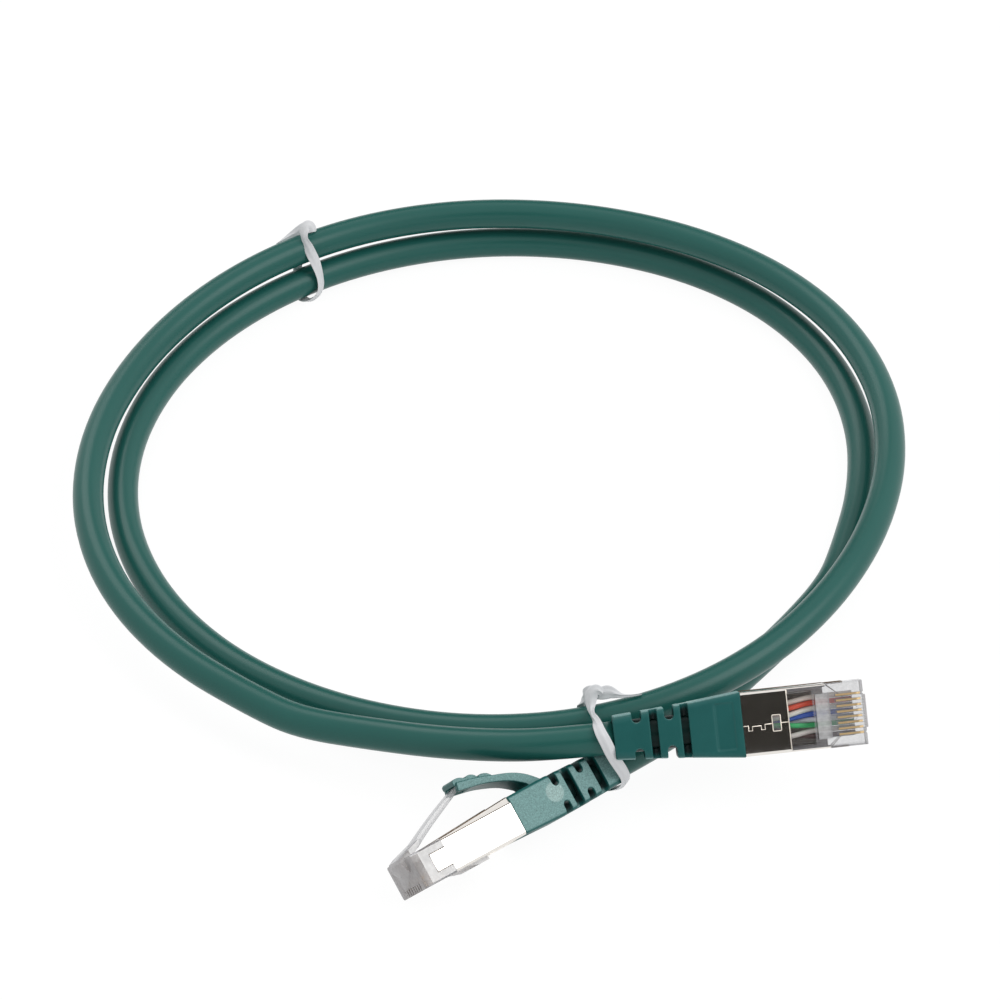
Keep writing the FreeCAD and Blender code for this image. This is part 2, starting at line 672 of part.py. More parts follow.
# A short bar of flat section that turns as it goes
def twist(length):
    sections = []
    for step in range(KNOT_STEPS + 1):
        corners = [V(length * step / KNOT_STEPS, y * KNOT_WIDTH / 2, z * KNOT_THICKNESS / 2)
                   for y, z in ((1, 1), (-1, 1), (-1, -1), (1, -1))]
        outline = Part.makePolygon(corners + corners[:1])
        outline.rotate(V(0, 0, 0), V(1, 0, 0), KNOT_TURN * step)
        sections.append(outline)
    return Part.makeLoft(sections, True, True)


# Stands a tie drawn flat up at a point: across becomes its first axis, up stays up
def stand(shape, point, across):
    through = across.cross(V(0, 0, 1))
    shape.Placement = FreeCAD.Placement(axes_matrix(across, V(0, 0, 1), through, point))
    return shape


def make_tie_one():
    inner = coil_point(TIE_ONE_ANGLE)
    outer = coil_point(TIE_ONE_ANGLE + 360)
    turn = math.radians(TIE_ONE_ANGLE)
    across = V(math.cos(turn), math.sin(turn), 0)
    gap = (outer - inner).dot(across)
    circles = [(0, inner.z, RADIUS), (gap, outer.z, RADIUS)]
    reach = gap + RADIUS + RIBBON_CLEARANCE + RIBBON_THICKNESS / 2
    tie = make_tie(circles, (reach, outer.z + KNOT_RISE), TIE_ONE_KNOT_ANGLE, TIE_ONE_TAILS)
    return stand(tie, V(inner.x, inner.y, 0), across)


# Where a straight line through point meets the plane through middle that stands across along
def crossing(point, heading, middle, along):
    return point + heading * ((middle - point).dot(along) / heading.dot(along))


def make_tie_two(boot_a, out_a, boot_b, out_b):
    turn = math.radians(TIE_TWO_TURN + 90)
    across = V(math.cos(turn), math.sin(turn), 0)
    middle = from_front(TIE_TWO_MIDDLE)
    along = across.cross(V(0, 0, 1))
    passing = [coil_point(angle) for angle in range(*TIE_TWO_SEARCH)]
    strand = min(passing, key=lambda point: abs((point - middle).dot(along)))
    held = (crossing(boot_b, out_b, middle, along), strand, crossing(boot_a, out_a, middle, along))
    low, near, high = [((point - middle).dot(across), point.z) for point in held]
    circles = [(*low, BOOT_END_RADIUS), (*near, STRAND_RADIUS), (*high, STRAND_RADIUS)]
    knot_at = (near[0] + RADIUS + RIBBON_CLEARANCE, near[1] + TIE_TWO_KNOT_RISE)
    tie = make_tie(circles, knot_at, TIE_TWO_KNOT_ANGLE, TIE_TWO_TAILS)
    return stand(tie, middle, across)


def export(name, shape):
    shape = shape.copy()
    shape.translate(V(MIDDLE_X, MIDDLE_Y, 0))
    shape.exportStep("parts/" + name + ".step")
    return shape.BoundBox


def main():
    os.makedirs("parts", exist_ok=True)
    box = FreeCAD.BoundBox()
    pieces = plug_pieces()
    ends = {}
    for side, boot_end, points, latch in (("a", PLUG_A, POINTS_A, LATCH_A), ("b", PLUG_B, POINTS_B, LATCH_B)):
        placement = plug_placement(boot_end, points, latch)
        ends[side] = (placement.multVec(V(-BOOT_END, 0, AXIS_RISE)), unit(V(*points)) * -1)
        for name, shape in pieces.items():
            placed = shape.copy()
            placed.Placement = placement.multiply(placed.Placement)
            box.add(export(name + "_" + side, placed))
    start = coil_point(COIL_KNOTS[0][0])
    end = coil_point(COIL_KNOTS[-1][0])
    boot_a, out_a = ends["a"]
    boot_b, out_b = ends["b"]
    route_a = [end, end + coil_heading(COIL_KNOTS[-1][0]) * LEAD_A_STUB]
    route_a += [lead_point(*point) for point in LEAD_A_POINTS] + [boot_a + out_a * BOOT_A_STUB, boot_a]
    route_b = [boot_b, boot_b + out_b * BOOT_B_STUB] + [lead_point(*point) for point in LEAD_B_POINTS]
    route_b += [start - coil_heading(COIL_KNOTS[0][0]) * LEAD_B_STUB, start]
    box.add(export("cable_lead_a", make_lead("cable_lead_a", route_a)))
    box.add(export("cable_lead_b", make_lead("cable_lead_b", route_b)))
    box.add(export("cable_coil", make_coil()))
    box.add(export("tie_one", make_tie_one()))
    box.add(export("tie_two", make_tie_two(boot_a, out_a, boot_b, out_b)))
    print("box", box)


main()
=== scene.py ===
import math

import bmesh
import bpy
import numpy as np
from mathutils import Matrix


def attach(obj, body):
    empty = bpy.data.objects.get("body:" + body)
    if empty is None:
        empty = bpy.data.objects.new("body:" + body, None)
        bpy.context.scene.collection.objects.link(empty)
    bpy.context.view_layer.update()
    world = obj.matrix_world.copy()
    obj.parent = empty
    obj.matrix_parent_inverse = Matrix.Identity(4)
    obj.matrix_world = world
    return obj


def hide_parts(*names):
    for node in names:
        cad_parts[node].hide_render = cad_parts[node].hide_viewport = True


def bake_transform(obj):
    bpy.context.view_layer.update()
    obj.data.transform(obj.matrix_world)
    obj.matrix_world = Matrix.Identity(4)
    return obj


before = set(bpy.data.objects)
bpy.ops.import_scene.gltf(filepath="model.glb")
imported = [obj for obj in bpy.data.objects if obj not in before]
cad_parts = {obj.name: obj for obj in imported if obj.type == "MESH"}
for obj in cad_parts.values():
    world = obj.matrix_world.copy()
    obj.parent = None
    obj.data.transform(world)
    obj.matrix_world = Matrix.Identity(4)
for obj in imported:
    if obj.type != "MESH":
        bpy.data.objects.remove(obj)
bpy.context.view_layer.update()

# A coiled network patch cable with two clear plugs. Sizes are in millimetres and become metres as each
# mesh is placed. On a plug, u runs back from the front of the nose, y across it and z to the latch side.
mm = 0.001

# Camera

camera = {"place": (0.195, -570.3, 555.1), "elevation": 43.5, "lens": 147.2, "sensor": 36, "clip": (0.01, 20)}


def addToScene(name, data):
    thing = bpy.data.objects.new(name, data)
    bpy.context.scene.collection.objects.link(thing)
    return thing


# Sets several of a thing's own values, in their order
def adjust(thing, **values):
    for name, value in values.items():
        setattr(thing, name, value)
    return thing


def makeCamera(c):
    near, far = c["clip"]
    data = adjust(bpy.data.cameras.new("camera"), lens=c["lens"], sensor_width=c["sensor"], clip_start=near,
                  clip_end=far)
    view = addToScene("camera", data)
    view.location = [value * mm for value in c["place"]]
    view.rotation_euler = (math.radians(90 - c["elevation"]), 0, 0)
    bpy.context.scene.camera = view


makeCamera(camera)
print("camera placed")

# Mesh helpers


def unit(vector):
    vector = np.asarray(vector, float)
    return vector / np.linalg.norm(vector, axis=-1, keepdims=True)


# Quads between neighbouring points of a grid numbered row by row
def gridFaces(rows, columns, wrapRows=False, wrapColumns=False):
    down, along = np.arange(rows - (not wrapRows)), np.arange(columns - (not wrapColumns))
    row, column = np.meshgrid(down, along, indexing="ij")
    below = (row + 1) % rows * columns
    right = (column + 1) % columns
    corners = [row * columns + column, row * columns + right, below + right, below + column]
    return np.stack(corners, -1).reshape(-1, 4)


def makeObject(name, points, faces, smooth=True):
    mesh = bpy.data.meshes.new(name)
    mesh.from_pydata(np.asarray(points, float).tolist(), [], faces)
    mesh.validate()
    if smooth:
        mesh.shade_smooth()
    return addToScene(name, mesh)


# A closed tube through a grid of sections, each a ring of points, with a flat face on both ends
def loft(name, sections):
    rows, columns, _ = sections.shape
    faces = gridFaces(rows, columns, wrapColumns=True).tolist()
    faces.append(list(range(columns))[::-1])
    faces.append(list(range((rows - 1) * columns, rows * columns)))
    return makeObject(name, sections.reshape(-1, 3), faces)


def rectangle(left, low, right, high):
    return [(left, low), (right, low), (right, high), (left, high)]


# A polygon with every corner rounded: each corner becomes an arc that touches both of its sides
def rounded(corners, radii, steps=6):
    corners = np.asarray(corners, float)
    radii = np.broadcast_to(np.asarray(radii, float), len(corners))[:, None]
    back = unit(np.roll(corners, 1, 0) - corners)
    ahead = unit(np.roll(corners, -1, 0) - corners)
    half = np.arccos(np.clip((back * ahead).sum(1, keepdims=True), -1, 1)) / 2
    middle = corners + unit(back + ahead) * radii / np.sin(half)
    start = corners + back * radii / np.tan(half) - middle
    end = corners + ahead * radii / np.tan(half) - middle
    share = np.linspace(0, 1, steps)[None, :, None]
    sweep = (math.pi - 2 * half)[:, None]
    turned = np.sin((1 - share) * sweep) * start[:, None] + np.sin(share * sweep) * end[:, None]
    return (middle[:, None] + turned / np.sin(sweep)).reshape(-1, 2)


# An outline drawn in two of the axes and carried straight along the third
def prism(name, outline, axes, low, high):
    outline = np.asarray(outline, float)
    ends = []
    for level in (low, high):
        end = np.full((len(outline), 3), float(level))
        end[:, axes] = outline
        ends.append(end)
    return loft(name, np.stack(ends))


def remove(things):
    for thing in things:
        bpy.data.objects.remove(thing)


# Makes the result of an object's modifiers its own mesh
def settle(thing):
    seen = thing.evaluated_get(bpy.context.evaluated_depsgraph_get())
    mesh = bpy.data.meshes.new_from_object(seen)
    thing.modifiers.clear()
    thing.data = mesh
    return thing


# Changes a mesh, or a copy of another one, by a function that edits it
def rework(thing, change, source=None):
    work = bmesh.new()
    work.from_mesh((source or thing).data)
    change(work)
    work.to_mesh(thing.data)
    work.free()
    return thing


def fixNormals(thing, touching=1e-5):
    def mend(work):
        bmesh.ops.remove_doubles(work, verts=work.verts, dist=touching)
        bmesh.ops.recalc_face_normals(work, faces=work.faces)

    return rework(thing, mend)


# One mesh of several, each as it is
def gather(things):
    def join(work):
        for thing in things[1:]:
            work.from_mesh(thing.data)

    rework(things[0], join)
    remove(things[1:])
    return things[0]


def carve(thing, cutters):
    for solid in [thing, *cutters]:
        fixNormals(solid)
    for cutter in cutters:
        adjust(thing.modifiers.new("cut", "BOOLEAN"), object=cutter, solver="EXACT")
    settle(thing)
    remove(cutters)
    return thing


# Fuses what overlaps and softens every edge, as a moulded piece has it
def mould(things, voxel, rounds):
    solid = gather([fixNormals(thing) for thing in things])
    adjust(solid.modifiers.new("fuse", "REMESH"), mode="VOXEL", voxel_size=voxel)
    adjust(solid.modifiers.new("soften", "SMOOTH"), factor=0.5, iterations=rounds)
    settle(solid)
    solid.data.shade_smooth()
    return solid


def sharpen(thing, degrees=40):
    thing.data.shade_smooth()
    thing.data.set_sharp_from_angle(angle=math.radians(degrees))
    return thing


# Tube round a line: a ring about each of its points, square to the way that the line runs there
def tube(name, line, radius, around):
    line = np.asarray(line, float)
    heading = unit(np.gradient(line, axis=0))
    side = unit(np.cross(heading, (0, 0, 1)))
    up = np.cross(side, heading)
    angle = np.linspace(0, 2 * math.pi, around, endpoint=False)[None, :, None]
    return loft(name, line[:, None] + radius * (np.cos(angle) * side[:, None] + np.sin(angle) * up[:, None]))


# A ring of points about a plug's own line, at a height above it
def ringPoints(u, radius, height, count=40):
    angle = np.linspace(0, 2 * math.pi, count, endpoint=False)
    return np.column_stack([np.full(count, -u), radius * np.cos(angle), height + radius * np.sin(angle)])


# Places or normals of a mesh's points or faces, as rows of three
def read(items, what):
    values = np.zeros(len(items) * 3)
    items.foreach_get(what, values)
    return values.reshape(-1, 3)


# Keeps a number at each point of a mesh, for its material
def store(thing, name, values):
    attribute = thing.data.attributes.new(name, "FLOAT", "POINT")
    attribute.data.foreach_set("value", np.asarray(values, np.float32))
    return thing


# Numbers the material of each face
def paint(thing, kinds):
    faces = thing.data.polygons
    faces.foreach_set("material_index", np.full(len(faces), kinds, np.int32))
    return thing


# A smooth line near a list of points, which are its control points: quadratic, and held at both ends
def smoothLine(points, steps):
    points = np.asarray(points, float)
    middles = (points[1:] + points[:-1]) / 2
    starts = np.vstack([points[:1], middles[1:]])[: len(points) - 2]
    ends = np.vstack([middles[1:-1], points[-1:]])
    share = np.linspace(0, 1, steps, endpoint=False)[None, :, None]
    pieces = (1 - share) ** 2 * starts[:, None] + 2 * share * (1 - share) * points[1:-1][:, None]
    pieces = pieces + share**2 * ends[:, None]
    return np.vstack([pieces.reshape(-1, points.shape[1]), points[-1:]])


# 0 up to the start, 1 from the end on, and a soft rise between them
def smoothStep(value, start, end):
    share = np.clip((value - start) / (end - start), 0, 1)
    return share * share * (3 - 2 * share)


# Where the two plugs lie: the front of the nose, the way it points and the side of its latch

middle = np.array([0.195, 14.565, 0.0])
plugs = {
    "a": {"nose": (65.76, -74.41, 18.01), "points": (0.9944, 0.0780, 0.0714),
          "latch": (-0.0058, 0.7145, -0.6996)},
    "b": {"nose": (-16.54, -104.96, 7.20), "points": (-0.7982, -0.6019, 0.0234),
          "latch": (-0.4789, 0.6577, 0.5815)},
}


def plugFrame(side):
    nose = np.array(plugs[side]["nose"]) + middle
    ahead = unit(plugs[side]["points"])
    latch = np.array(plugs[side]["latch"])
    latch = unit(latch - ahead * (latch @ ahead))
    return nose, ahead, np.cross(latch, ahead), latch


# A point (u, y, z) on a plug, in the part's frame, in metres
def onPlug(side, u, y, z):
    nose, ahead, across, latch = plugFrame(side)
    return (nose - ahead * u + across * y + latch * z) * mm


def plugMatrix(side):
    nose, ahead, across, latch = plugFrame(side)
    matrix = np.eye(4)
    matrix[:3, :3] = np.stack([ahead, across, latch], 1) * mm
    matrix[:3, 3] = nose * mm
    return Matrix(matrix.tolist())


# A copy of a shape on one plug, with the materials that its faces number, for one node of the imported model
def part(side, body, shape, name, looks, slot, node):
    piece = addToScene(name + "_" + side, shape.data.copy())
    piece.data.transform(plugMatrix(side))
    for look in looks:
        piece.data.materials.append(materials[look])
    if body:
        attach(piece, body)
    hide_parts(node + "_" + side)
    return piece


# Cable: the coil's formula and the leads' chosen points, in millimetres before they are centred.
# A wave is a count per turn, a size and the angle of its peak, and a knot is an angle and a height.

cable = {
    "diameter": 6.0, "centre": (-0.06, 4.04), "radius": 72.6,
    "spread": 4.56, "spreadStart": 252.7, "spreadEnd": 358.9,
    "inner": ((2, 1.27, 41.6), (3, 1.77, 47.2), (4, 0.65, 19.2)),
    "outer": ((1, 3.13, -108.4), (2, 2.17, 28.9), (3, 0.77, 47.5), (4, 0.92, 24.1)),
    "knots": ((-18, 3), (57, 2.5), (147, 4), (214, 2.5), (302, 10.8), (402, 9.7), (492, 10.1), (597, 8.35)),
    "step": 15.0, "leadAStub": 9.0, "leadBStub": 10.0, "bootAStub": 9.0, "bootBStub": 9.5,
    "leadA": ((-24.3, -71.6, 9.2), (-11.0, -75.8, 11.2), (1.8, -78.4, 13.1)),
    "leadB": ((36.3, -61.7, 3.4), (45.6, -50.8, 3.0), (55.7, -38.4, 3.0)),
    "bootEnd": 45.5, "axisRise": 0.2, "pointsPerSpan": 8, "around": 28, "length": 0.9475,
}


# The coil's middle: a circle with slow waves, wider in its second turn, whose height climbs between knots
def coilPoints(c, degrees, gain=1.0):
    degrees = np.asarray(degrees, float)

    def waves(terms):
        return sum(size * np.cos(np.radians(count * (degrees - peak))) for count, size, peak in terms)

    spread = smoothStep(degrees, c["spreadStart"], c["spreadEnd"])
    radius = c["radius"] + c["spread"] * spread
    radius = radius + waves(c["inner"]) * (1 - spread) + waves(c["outer"]) * spread
    height = np.full(degrees.shape, c["knots"][0][1])
    for (start, low), (end, high) in zip(c["knots"], c["knots"][1:]):
        height = np.where(degrees >= start, low + (high - low) * smoothStep(degrees, start, end), height)
    turn = np.radians(degrees)
    across = c["centre"][0] + radius * gain * np.cos(turn)
    away = c["centre"][1] + radius * gain * np.sin(turn)
    return np.stack([across, away, height], -1) + middle


# The way that the coil runs at an angle, level
def coilHeading(c, degrees, near=0.05):
    ends = coilPoints(c, [degrees - near, degrees + near])
    return unit((ends[1] - ends[0]) * (1, 1, 0))


# The route's control points from boot B round the coil to boot A. The spline is three quarters one control
# point and a quarter its neighbours, so the coil's points lie a little further out than its line.
def cableRoute(c):
    first, last = c["knots"][0][0], c["knots"][-1][0]
    turns = np.linspace(first, last, int(round((last - first) / c["step"])) + 1)
    gain = 1 / (3 / 4 + 1 / 4 * math.cos(math.radians(turns[1] - turns[0])))
    coil = coilPoints(c, turns, gain)
    bootA, bootB = [onPlug(side, c["bootEnd"], 0, c["axisRise"]) / mm for side in plugs]
    outA, outB = [-plugFrame(side)[1] for side in plugs]
    leadA, leadB = [np.array(c[lead]) + middle for lead in ("leadA", "leadB")]
    start = coil[0] - coilHeading(c, first) * c["leadBStub"]
    end = coil[-1] + coilHeading(c, last) * c["leadAStub"]
    points = [bootB, bootB + outB * c["bootBStub"], *leadB, start, *coil]
    return np.array(points + [end, *leadA, bootA + outA * c["bootAStub"], bootA]) * mm


# The points that a NURBS spline gives
def splineLine(points, steps):
    curve = bpy.data.curves.new("cableLine", "CURVE")
    curve.dimensions = "3D"
    curve.resolution_u = steps
    spline = curve.splines.new("NURBS")
    spline.points.add(len(points) - 1)
    spline.points.foreach_set("co", np.hstack([points, np.ones((len(points), 1))]).ravel())
    spline.order_u = 3
    spline.use_endpoint_u = True
    holder = bpy.data.objects.new("cableLine", curve)
    mesh = bpy.data.meshes.new_from_object(holder)
    line = read(mesh.vertices, "co")
    bpy.data.meshes.remove(mesh)
    bpy.data.objects.remove(holder)
    return line


def makeCable(c, material):
    line = splineLine(cableRoute(c), c["pointsPerSpan"])
    jacket = tube("cable", line, c["diameter"] / 2 * mm, c["around"])
    points = read(jacket.data.vertices, "co")
    points[:, 2] = np.maximum(points[:, 2], 0)      # pressed flat where it rests
    jacket.data.vertices.foreach_set("co", points.ravel())
    jacket.data.materials.append(material)
    return jacket, line


# Node helpers


# Gives an input its value, or links it to another node's output
def give(tree, socket, value):
    if isinstance(value, bpy.types.NodeSocket):
        tree.links.new(value, socket)
    else:
        socket.default_value = value


# A node with its settings, and with its inputs given by label or number
def addNode(tree, kind, inputs, **settings):
    node = adjust(tree.nodes.new("ShaderNode" + kind), **settings)
    for label, value in inputs.items():
        give(tree, node.inputs[label], value)
    return node


def calculate(tree, operation, *values):
    return addNode(tree, "Math", dict(enumerate(values)), operation=operation).outputs[0]


# Between two colours, or two numbers, by a share
def mix(tree, share, low, high, kind="Color"):
    node = addNode(tree, "Mix", {}, data_type="RGBA" if kind == "Color" else "FLOAT")
    sockets = {one.identifier: one for one in [*node.inputs, *node.outputs]}
    for label, value in (("Factor_Float", share), ("A_" + kind, low), ("B_" + kind, high)):
        give(tree, sockets[label], value)
    return sockets["Result_" + kind]


def rgba(colour):
    return (*colour, 1)


# A group of nodes that takes a place and some numbers and gives others. Its colours go in and come out.
def newGroup(name, numbersIn, numbersOut, colours=""):
    group = bpy.data.node_groups.new(name, "ShaderNodeTree")
    group.interface.new_socket("Vector", in_out="INPUT", socket_type="NodeSocketVector")
    for way, numbers in (("INPUT", numbersIn), ("OUTPUT", numbersOut)):
        for labels, kind in ((colours, "NodeSocketColor"), (numbers, "NodeSocketFloat")):
            for label in labels.split():
                group.interface.new_socket(label, in_out=way, socket_type=kind)
    return group, group.nodes.new("NodeGroupInput").outputs, group.nodes.new("NodeGroupOutput").inputs


# Slow changes of colour and gloss: noise that lightens and darkens the colour, and moves the roughness
def makeMottle():
    group, given, made = newGroup("mottle", "Scale Wander Smooth Rough", "Roughness", colours="Colour")
    noise = addNode(group, "TexNoise", {"Detail": 3, "Vector": given["Vector"], "Scale": given["Scale"]})
    swing = calculate(group, "MULTIPLY_ADD", noise.outputs["Fac"], given["Wander"], 1.0)
    offset = calculate(group, "MULTIPLY_ADD", given["Wander"], -0.5, swing)
    shade = addNode(group, "VectorMath", {0: given["Colour"], "Scale": offset}, operation="SCALE")
    gloss = addNode(group, "MapRange", {"Value": noise.outputs["Fac"], "To Min": given["Smooth"],
                                        "To Max": given["Rough"]})
    give(group, made["Colour"], shade.outputs[0])
    give(group, made["Roughness"], gloss.outputs[0])
    return group


# Fine moulded grain: small noise as a height
def makeGrain():
    group, given, made = newGroup("grain", "Scale Depth", "Height")
    fine = addNode(group, "TexNoise", {"Detail": 2, "Vector": given["Vector"], "Scale": given["Scale"]})
    give(group, made["Height"], calculate(group, "MULTIPLY", fine.outputs["Fac"], given["Depth"]))
    return group


mottle = makeMottle()
grain = makeGrain()

# Surfaces: scale, wander and gloss are the mottle's, and grain, depth and bump are the fine relief's

finishes = {
    "jacket": {"colour": (0.016, 0.115, 0.098), "scale": 60, "wander": 0.12, "gloss": (0.27, 0.36),
               "grain": 1400, "depth": 0.10, "bump": 0.00003, "specular": 0.3},
    "boot": {"colour": (0.008, 0.108, 0.102), "scale": 220, "wander": 0.25, "gloss": (0.34, 0.46),
             "grain": 5200, "depth": 0.25, "bump": 0.00006, "specular": 0.3},
    "tie": {"colour": (0.80, 0.81, 0.83), "scale": 300, "wander": 0.08, "gloss": (0.35, 0.5),
            "grain": 2600, "depth": 0.4, "bump": 0.00005},
}
# A much darker copy of the jacket for the cable's end inside the boot: painted shade where the boot covers it
finishes["jacketPaintedShade"] = dict(finishes["jacket"], colour=(0.006, 0.024, 0.022), specular=0.1)

# The dark colour for the boot's slots is painted shade, laid in by how deep they lie
frost = {"colour": (0.20, 0.36, 0.35), "gate": (0.36, 0.52, 0.50), "slotShade": (0.012, 0.028, 0.028),
         "scale": 4200, "wander": 1.5, "gloss": (0.5, 0.75)}

metal = {"metallic": 1, "wander": 0.08, "bump": 0.00002}
metals = {      # colour, scale, gloss and depth
    "nickel": ((0.80, 0.77, 0.73), 700, (0.06, 0.14), 0.15),
    "nickelInside": ((0.82, 0.76, 0.70), 700, (0.16, 0.26), 0.15),
    # A paler, creamier copy of the nickel for the rolled lips: partly a painted highlight on top of what they
    # mirror
    "nickelPaintedHighlight": ((0.93, 0.86, 0.76), 900, (0.25, 0.35), 0.15),
    # Painted shade: a dark brown metal for the beads that stand for the shade at the sheet's edges
    "nickelPaintedShade": ((0.16, 0.11, 0.07), 900, (0.35, 0.45), 0.15),
    "braid": ((0.55, 0.55, 0.53), 3000, (0.25, 0.45), 1.0),
    "gold": ((0.90, 0.66, 0.36), 900, (0.30, 0.40), 0.2),
}

insulation = {"scale": 500, "wander": 0.1, "gloss": (0.3, 0.4), "grain": 3000, "depth": 0.1, "bump": 0.00001}
wires = {
    "white_orange": (0.95, 0.86, 0.78), "orange": (0.86, 0.075, 0.02), "white_green": (0.93, 0.93, 0.86),
    "blue": (0.02, 0.11, 0.60), "white_blue": (0.86, 0.88, 0.94), "green": (0.02, 0.50, 0.15),
    "white_brown": (0.92, 0.85, 0.81), "brown": (0.085, 0.035, 0.03),
}

# Clear plastics: film is how much shows face on and edge on, where the colour turns to that of the rim

films = {       # colour, rim, film, blend, cloud, cloudDepth and gloss
    "clear": ((0.55, 0.55, 0.58), (0.22, 0.22, 0.25), (0.15, 0.80), 0.35, 1200, 0.20, (0.04, 0.10)),
    "inside": ((0.7, 0.7, 0.7), (0.3, 0.3, 0.32), (0.0, 0.3), 0.35, 900, 0.03, (0.04, 0.10)),
    "noseSide": ((0.50, 0.47, 0.46), (0.22, 0.22, 0.24), (0.30, 0.80), 0.35, 1500, 0.6, (0.06, 0.14)),
    "paleSide": ((0.94, 0.93, 0.92), (0.26, 0.26, 0.28), (0.62, 0.85), 0.25, 900, 0.35, (0.04, 0.12)),
    "lever": ((0.80, 0.80, 0.81), (0.22, 0.22, 0.25), (0.30, 0.85), 0.4, 700, 0.05, (0.04, 0.12)),
    "milky": ((0.97, 0.97, 0.98), (0.7, 0.7, 0.72), (0.28, 0.75), 0.35, 1500, 0.25, (0.10, 0.20)),
}
filmMottle = {"scale": 900, "wander": 0.0}


def startMaterial(name):
    material = bpy.data.materials.new(name)
    material.use_nodes = True
    tree = material.node_tree
    return material, tree, tree.nodes["Principled BSDF"].inputs


def objectPlace(tree):
    return addNode(tree, "TexCoord", {}).outputs["Object"]


def addMottle(tree, place, colour, f):
    values = {"Vector": place, "Colour": colour, "Scale": f["scale"], "Wander": f["wander"],
              "Smooth": f["gloss"][0], "Rough": f["gloss"][1]}
    return addNode(tree, "Group", values, node_tree=mottle).outputs


def addGrain(tree, place, scale, depth):
    values = {"Vector": place, "Scale": scale, "Depth": depth}
    return addNode(tree, "Group", values, node_tree=grain).outputs["Height"]


# Slow changes of colour and gloss, and a fine grain in relief
def makeSurface(name, f):
    material, tree, shader = startMaterial(name)
    place = objectPlace(tree)
    slow = addMottle(tree, place, rgba(f["colour"]), f)
    height = addGrain(tree, place, f["grain"], f["depth"])
    bump = addNode(tree, "Bump", {"Distance": f["bump"], "Strength": 1.0, "Height": height})
    for label, value in (("Base Color", slow["Colour"]), ("Roughness", slow["Roughness"]),
                         ("Normal", bump.outputs["Normal"]), ("Metallic", f.get("metallic", 0)),
                         ("Specular IOR Level", f.get("specular", 0.5))):
        give(tree, shader[label], value)
    return material


# The boot's narrow sides are speckled, as the mould is rough there, and paler at its gate. Slots are dark
# with painted shade.
def frostBoot(tree, f):
    shader = tree.nodes["Principled BSDF"].inputs
    narrow, gate, slotShade = [addNode(tree, "Attribute", {}, attribute_name=mark).outputs["Fac"]
                          for mark in ("narrowSide", "gateMark", "paintedSlotShade")]
    paler = mix(tree, gate, rgba(f["colour"]), rgba(f["gate"]))
    speckle = addMottle(tree, objectPlace(tree), paler, f)
    smooth = shader["Roughness"].links[0].from_socket
    plain = shader["Base Color"].links[0].from_socket
    give(tree, shader["Roughness"], mix(tree, narrow, smooth, speckle["Roughness"], "Float"))
    frosted = mix(tree, narrow, plain, speckle["Colour"])
    # Painted shade: the slots turn dark by how deep they lie under the outside
    give(tree, shader["Base Color"], mix(tree, slotShade, frosted, rgba(f["slotShade"])))


# Clear plastic as a milky film: each face keeps a share of its own pale colour, more where it is seen edge on
def makeClear(name, colour, rim, film, blend, cloud, cloudDepth, gloss):
    material, tree, shader = startMaterial(name)
    place = objectPlace(tree)
    edgeOn = addNode(tree, "LayerWeight", {"Blend": blend}).outputs["Facing"]
    haze = addGrain(tree, place, cloud, cloudDepth)
    share = addNode(tree, "MapRange", {"Value": edgeOn, "To Min": film[0], "To Max": film[1]})
    slow = addMottle(tree, place, (1, 1, 1, 1), dict(filmMottle, gloss=gloss))
    give(tree, shader["Alpha"], calculate(tree, "ADD", share.outputs[0], haze))
    give(tree, shader["Base Color"], mix(tree, edgeOn, rgba(colour), rgba(rim)))
    give(tree, shader["Roughness"], slow["Roughness"])
    return material


for name, (colour, scale, gloss, depth) in metals.items():
    finishes[name] = dict(metal, colour=colour, scale=scale, gloss=gloss, grain=scale * 6, depth=depth)
for name, colour in wires.items():
    finishes[name] = dict(insulation, colour=colour)
materials = {name: makeSurface(name, look) for name, look in finishes.items()}
frostBoot(materials["boot"].node_tree, frost)
for name, row in films.items():
    materials[name] = makeClear(name, *row)
print("materials made:", len(materials))

jacket, cableLine = makeCable(cable, materials["jacket"])
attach(jacket, "patch_cable")
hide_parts("cable_coil", "cable_lead_a", "cable_lead_b")
print("cable made, points on its line:", len(cableLine))

# Shield: a sheet bent round the body, stepped back at its front, with a window and a joint line

shell = {
    "half": 5.84, "low": -3.3, "top": 3.3, "rise": 0.9, "rampFront": 6.75, "back": 22.1, "sheet": 0.23,
    "bend": 0.56, "leastBend": 0.08, "corner": 0.2, "innerCorner": 0.14, "edge": 0.3, "topBevel": 0.45,
    "tongueFront": 3.4, "tongueHalf": 1.7, "panelFront": 13.8,
    "window": (1.5, 2.9), "windowBack": 16.05, "windowSide": 0.28, "windowRound": 0.15,
    "seam": 0.13, "seamSide": 0.33, "feet": (18.2, 18.9, 20.5, 21.2), "footDepth": 1.25, "bridge": 0.5,
    "lip": 0.09, "frontLip": 0.11, "frontLipEnd": 0.7, "lipAround": 10, "shadeLine": 0.09, "shadeLineAround": 8,
    "past": 1.0, "outward": 0.5, "metals": ("nickel", "nickelInside", "nickelPaintedHighlight", "nickelPaintedShade"),
}


# Section of the plug at u, drawn in by inset: square below, and bevelled above as the top ramps up
def plugSection(s, u, inset):
    rise = s["rise"] * max(u - s["rampFront"], 0) / (s["back"] - s["rampFront"])
    half = s["half"] - inset
    bevel = s["topBevel"] * rise / s["rise"] + s["edge"]
    shoulder = s["top"] - s["edge"] - inset / 2
    right = [(half, s["low"] + inset), (half, shoulder), (half - bevel, s["top"] + rise - inset)]
    bend = max(s["bend"] - inset, s["leastBend"])
    small = s["innerCorner"] if inset else s["corner"]
    outline = rounded(right + [(-y, z) for y, z in right[::-1]], [bend, small, small, small, small, bend])
    return np.column_stack([np.full(len(outline), -u), outline])


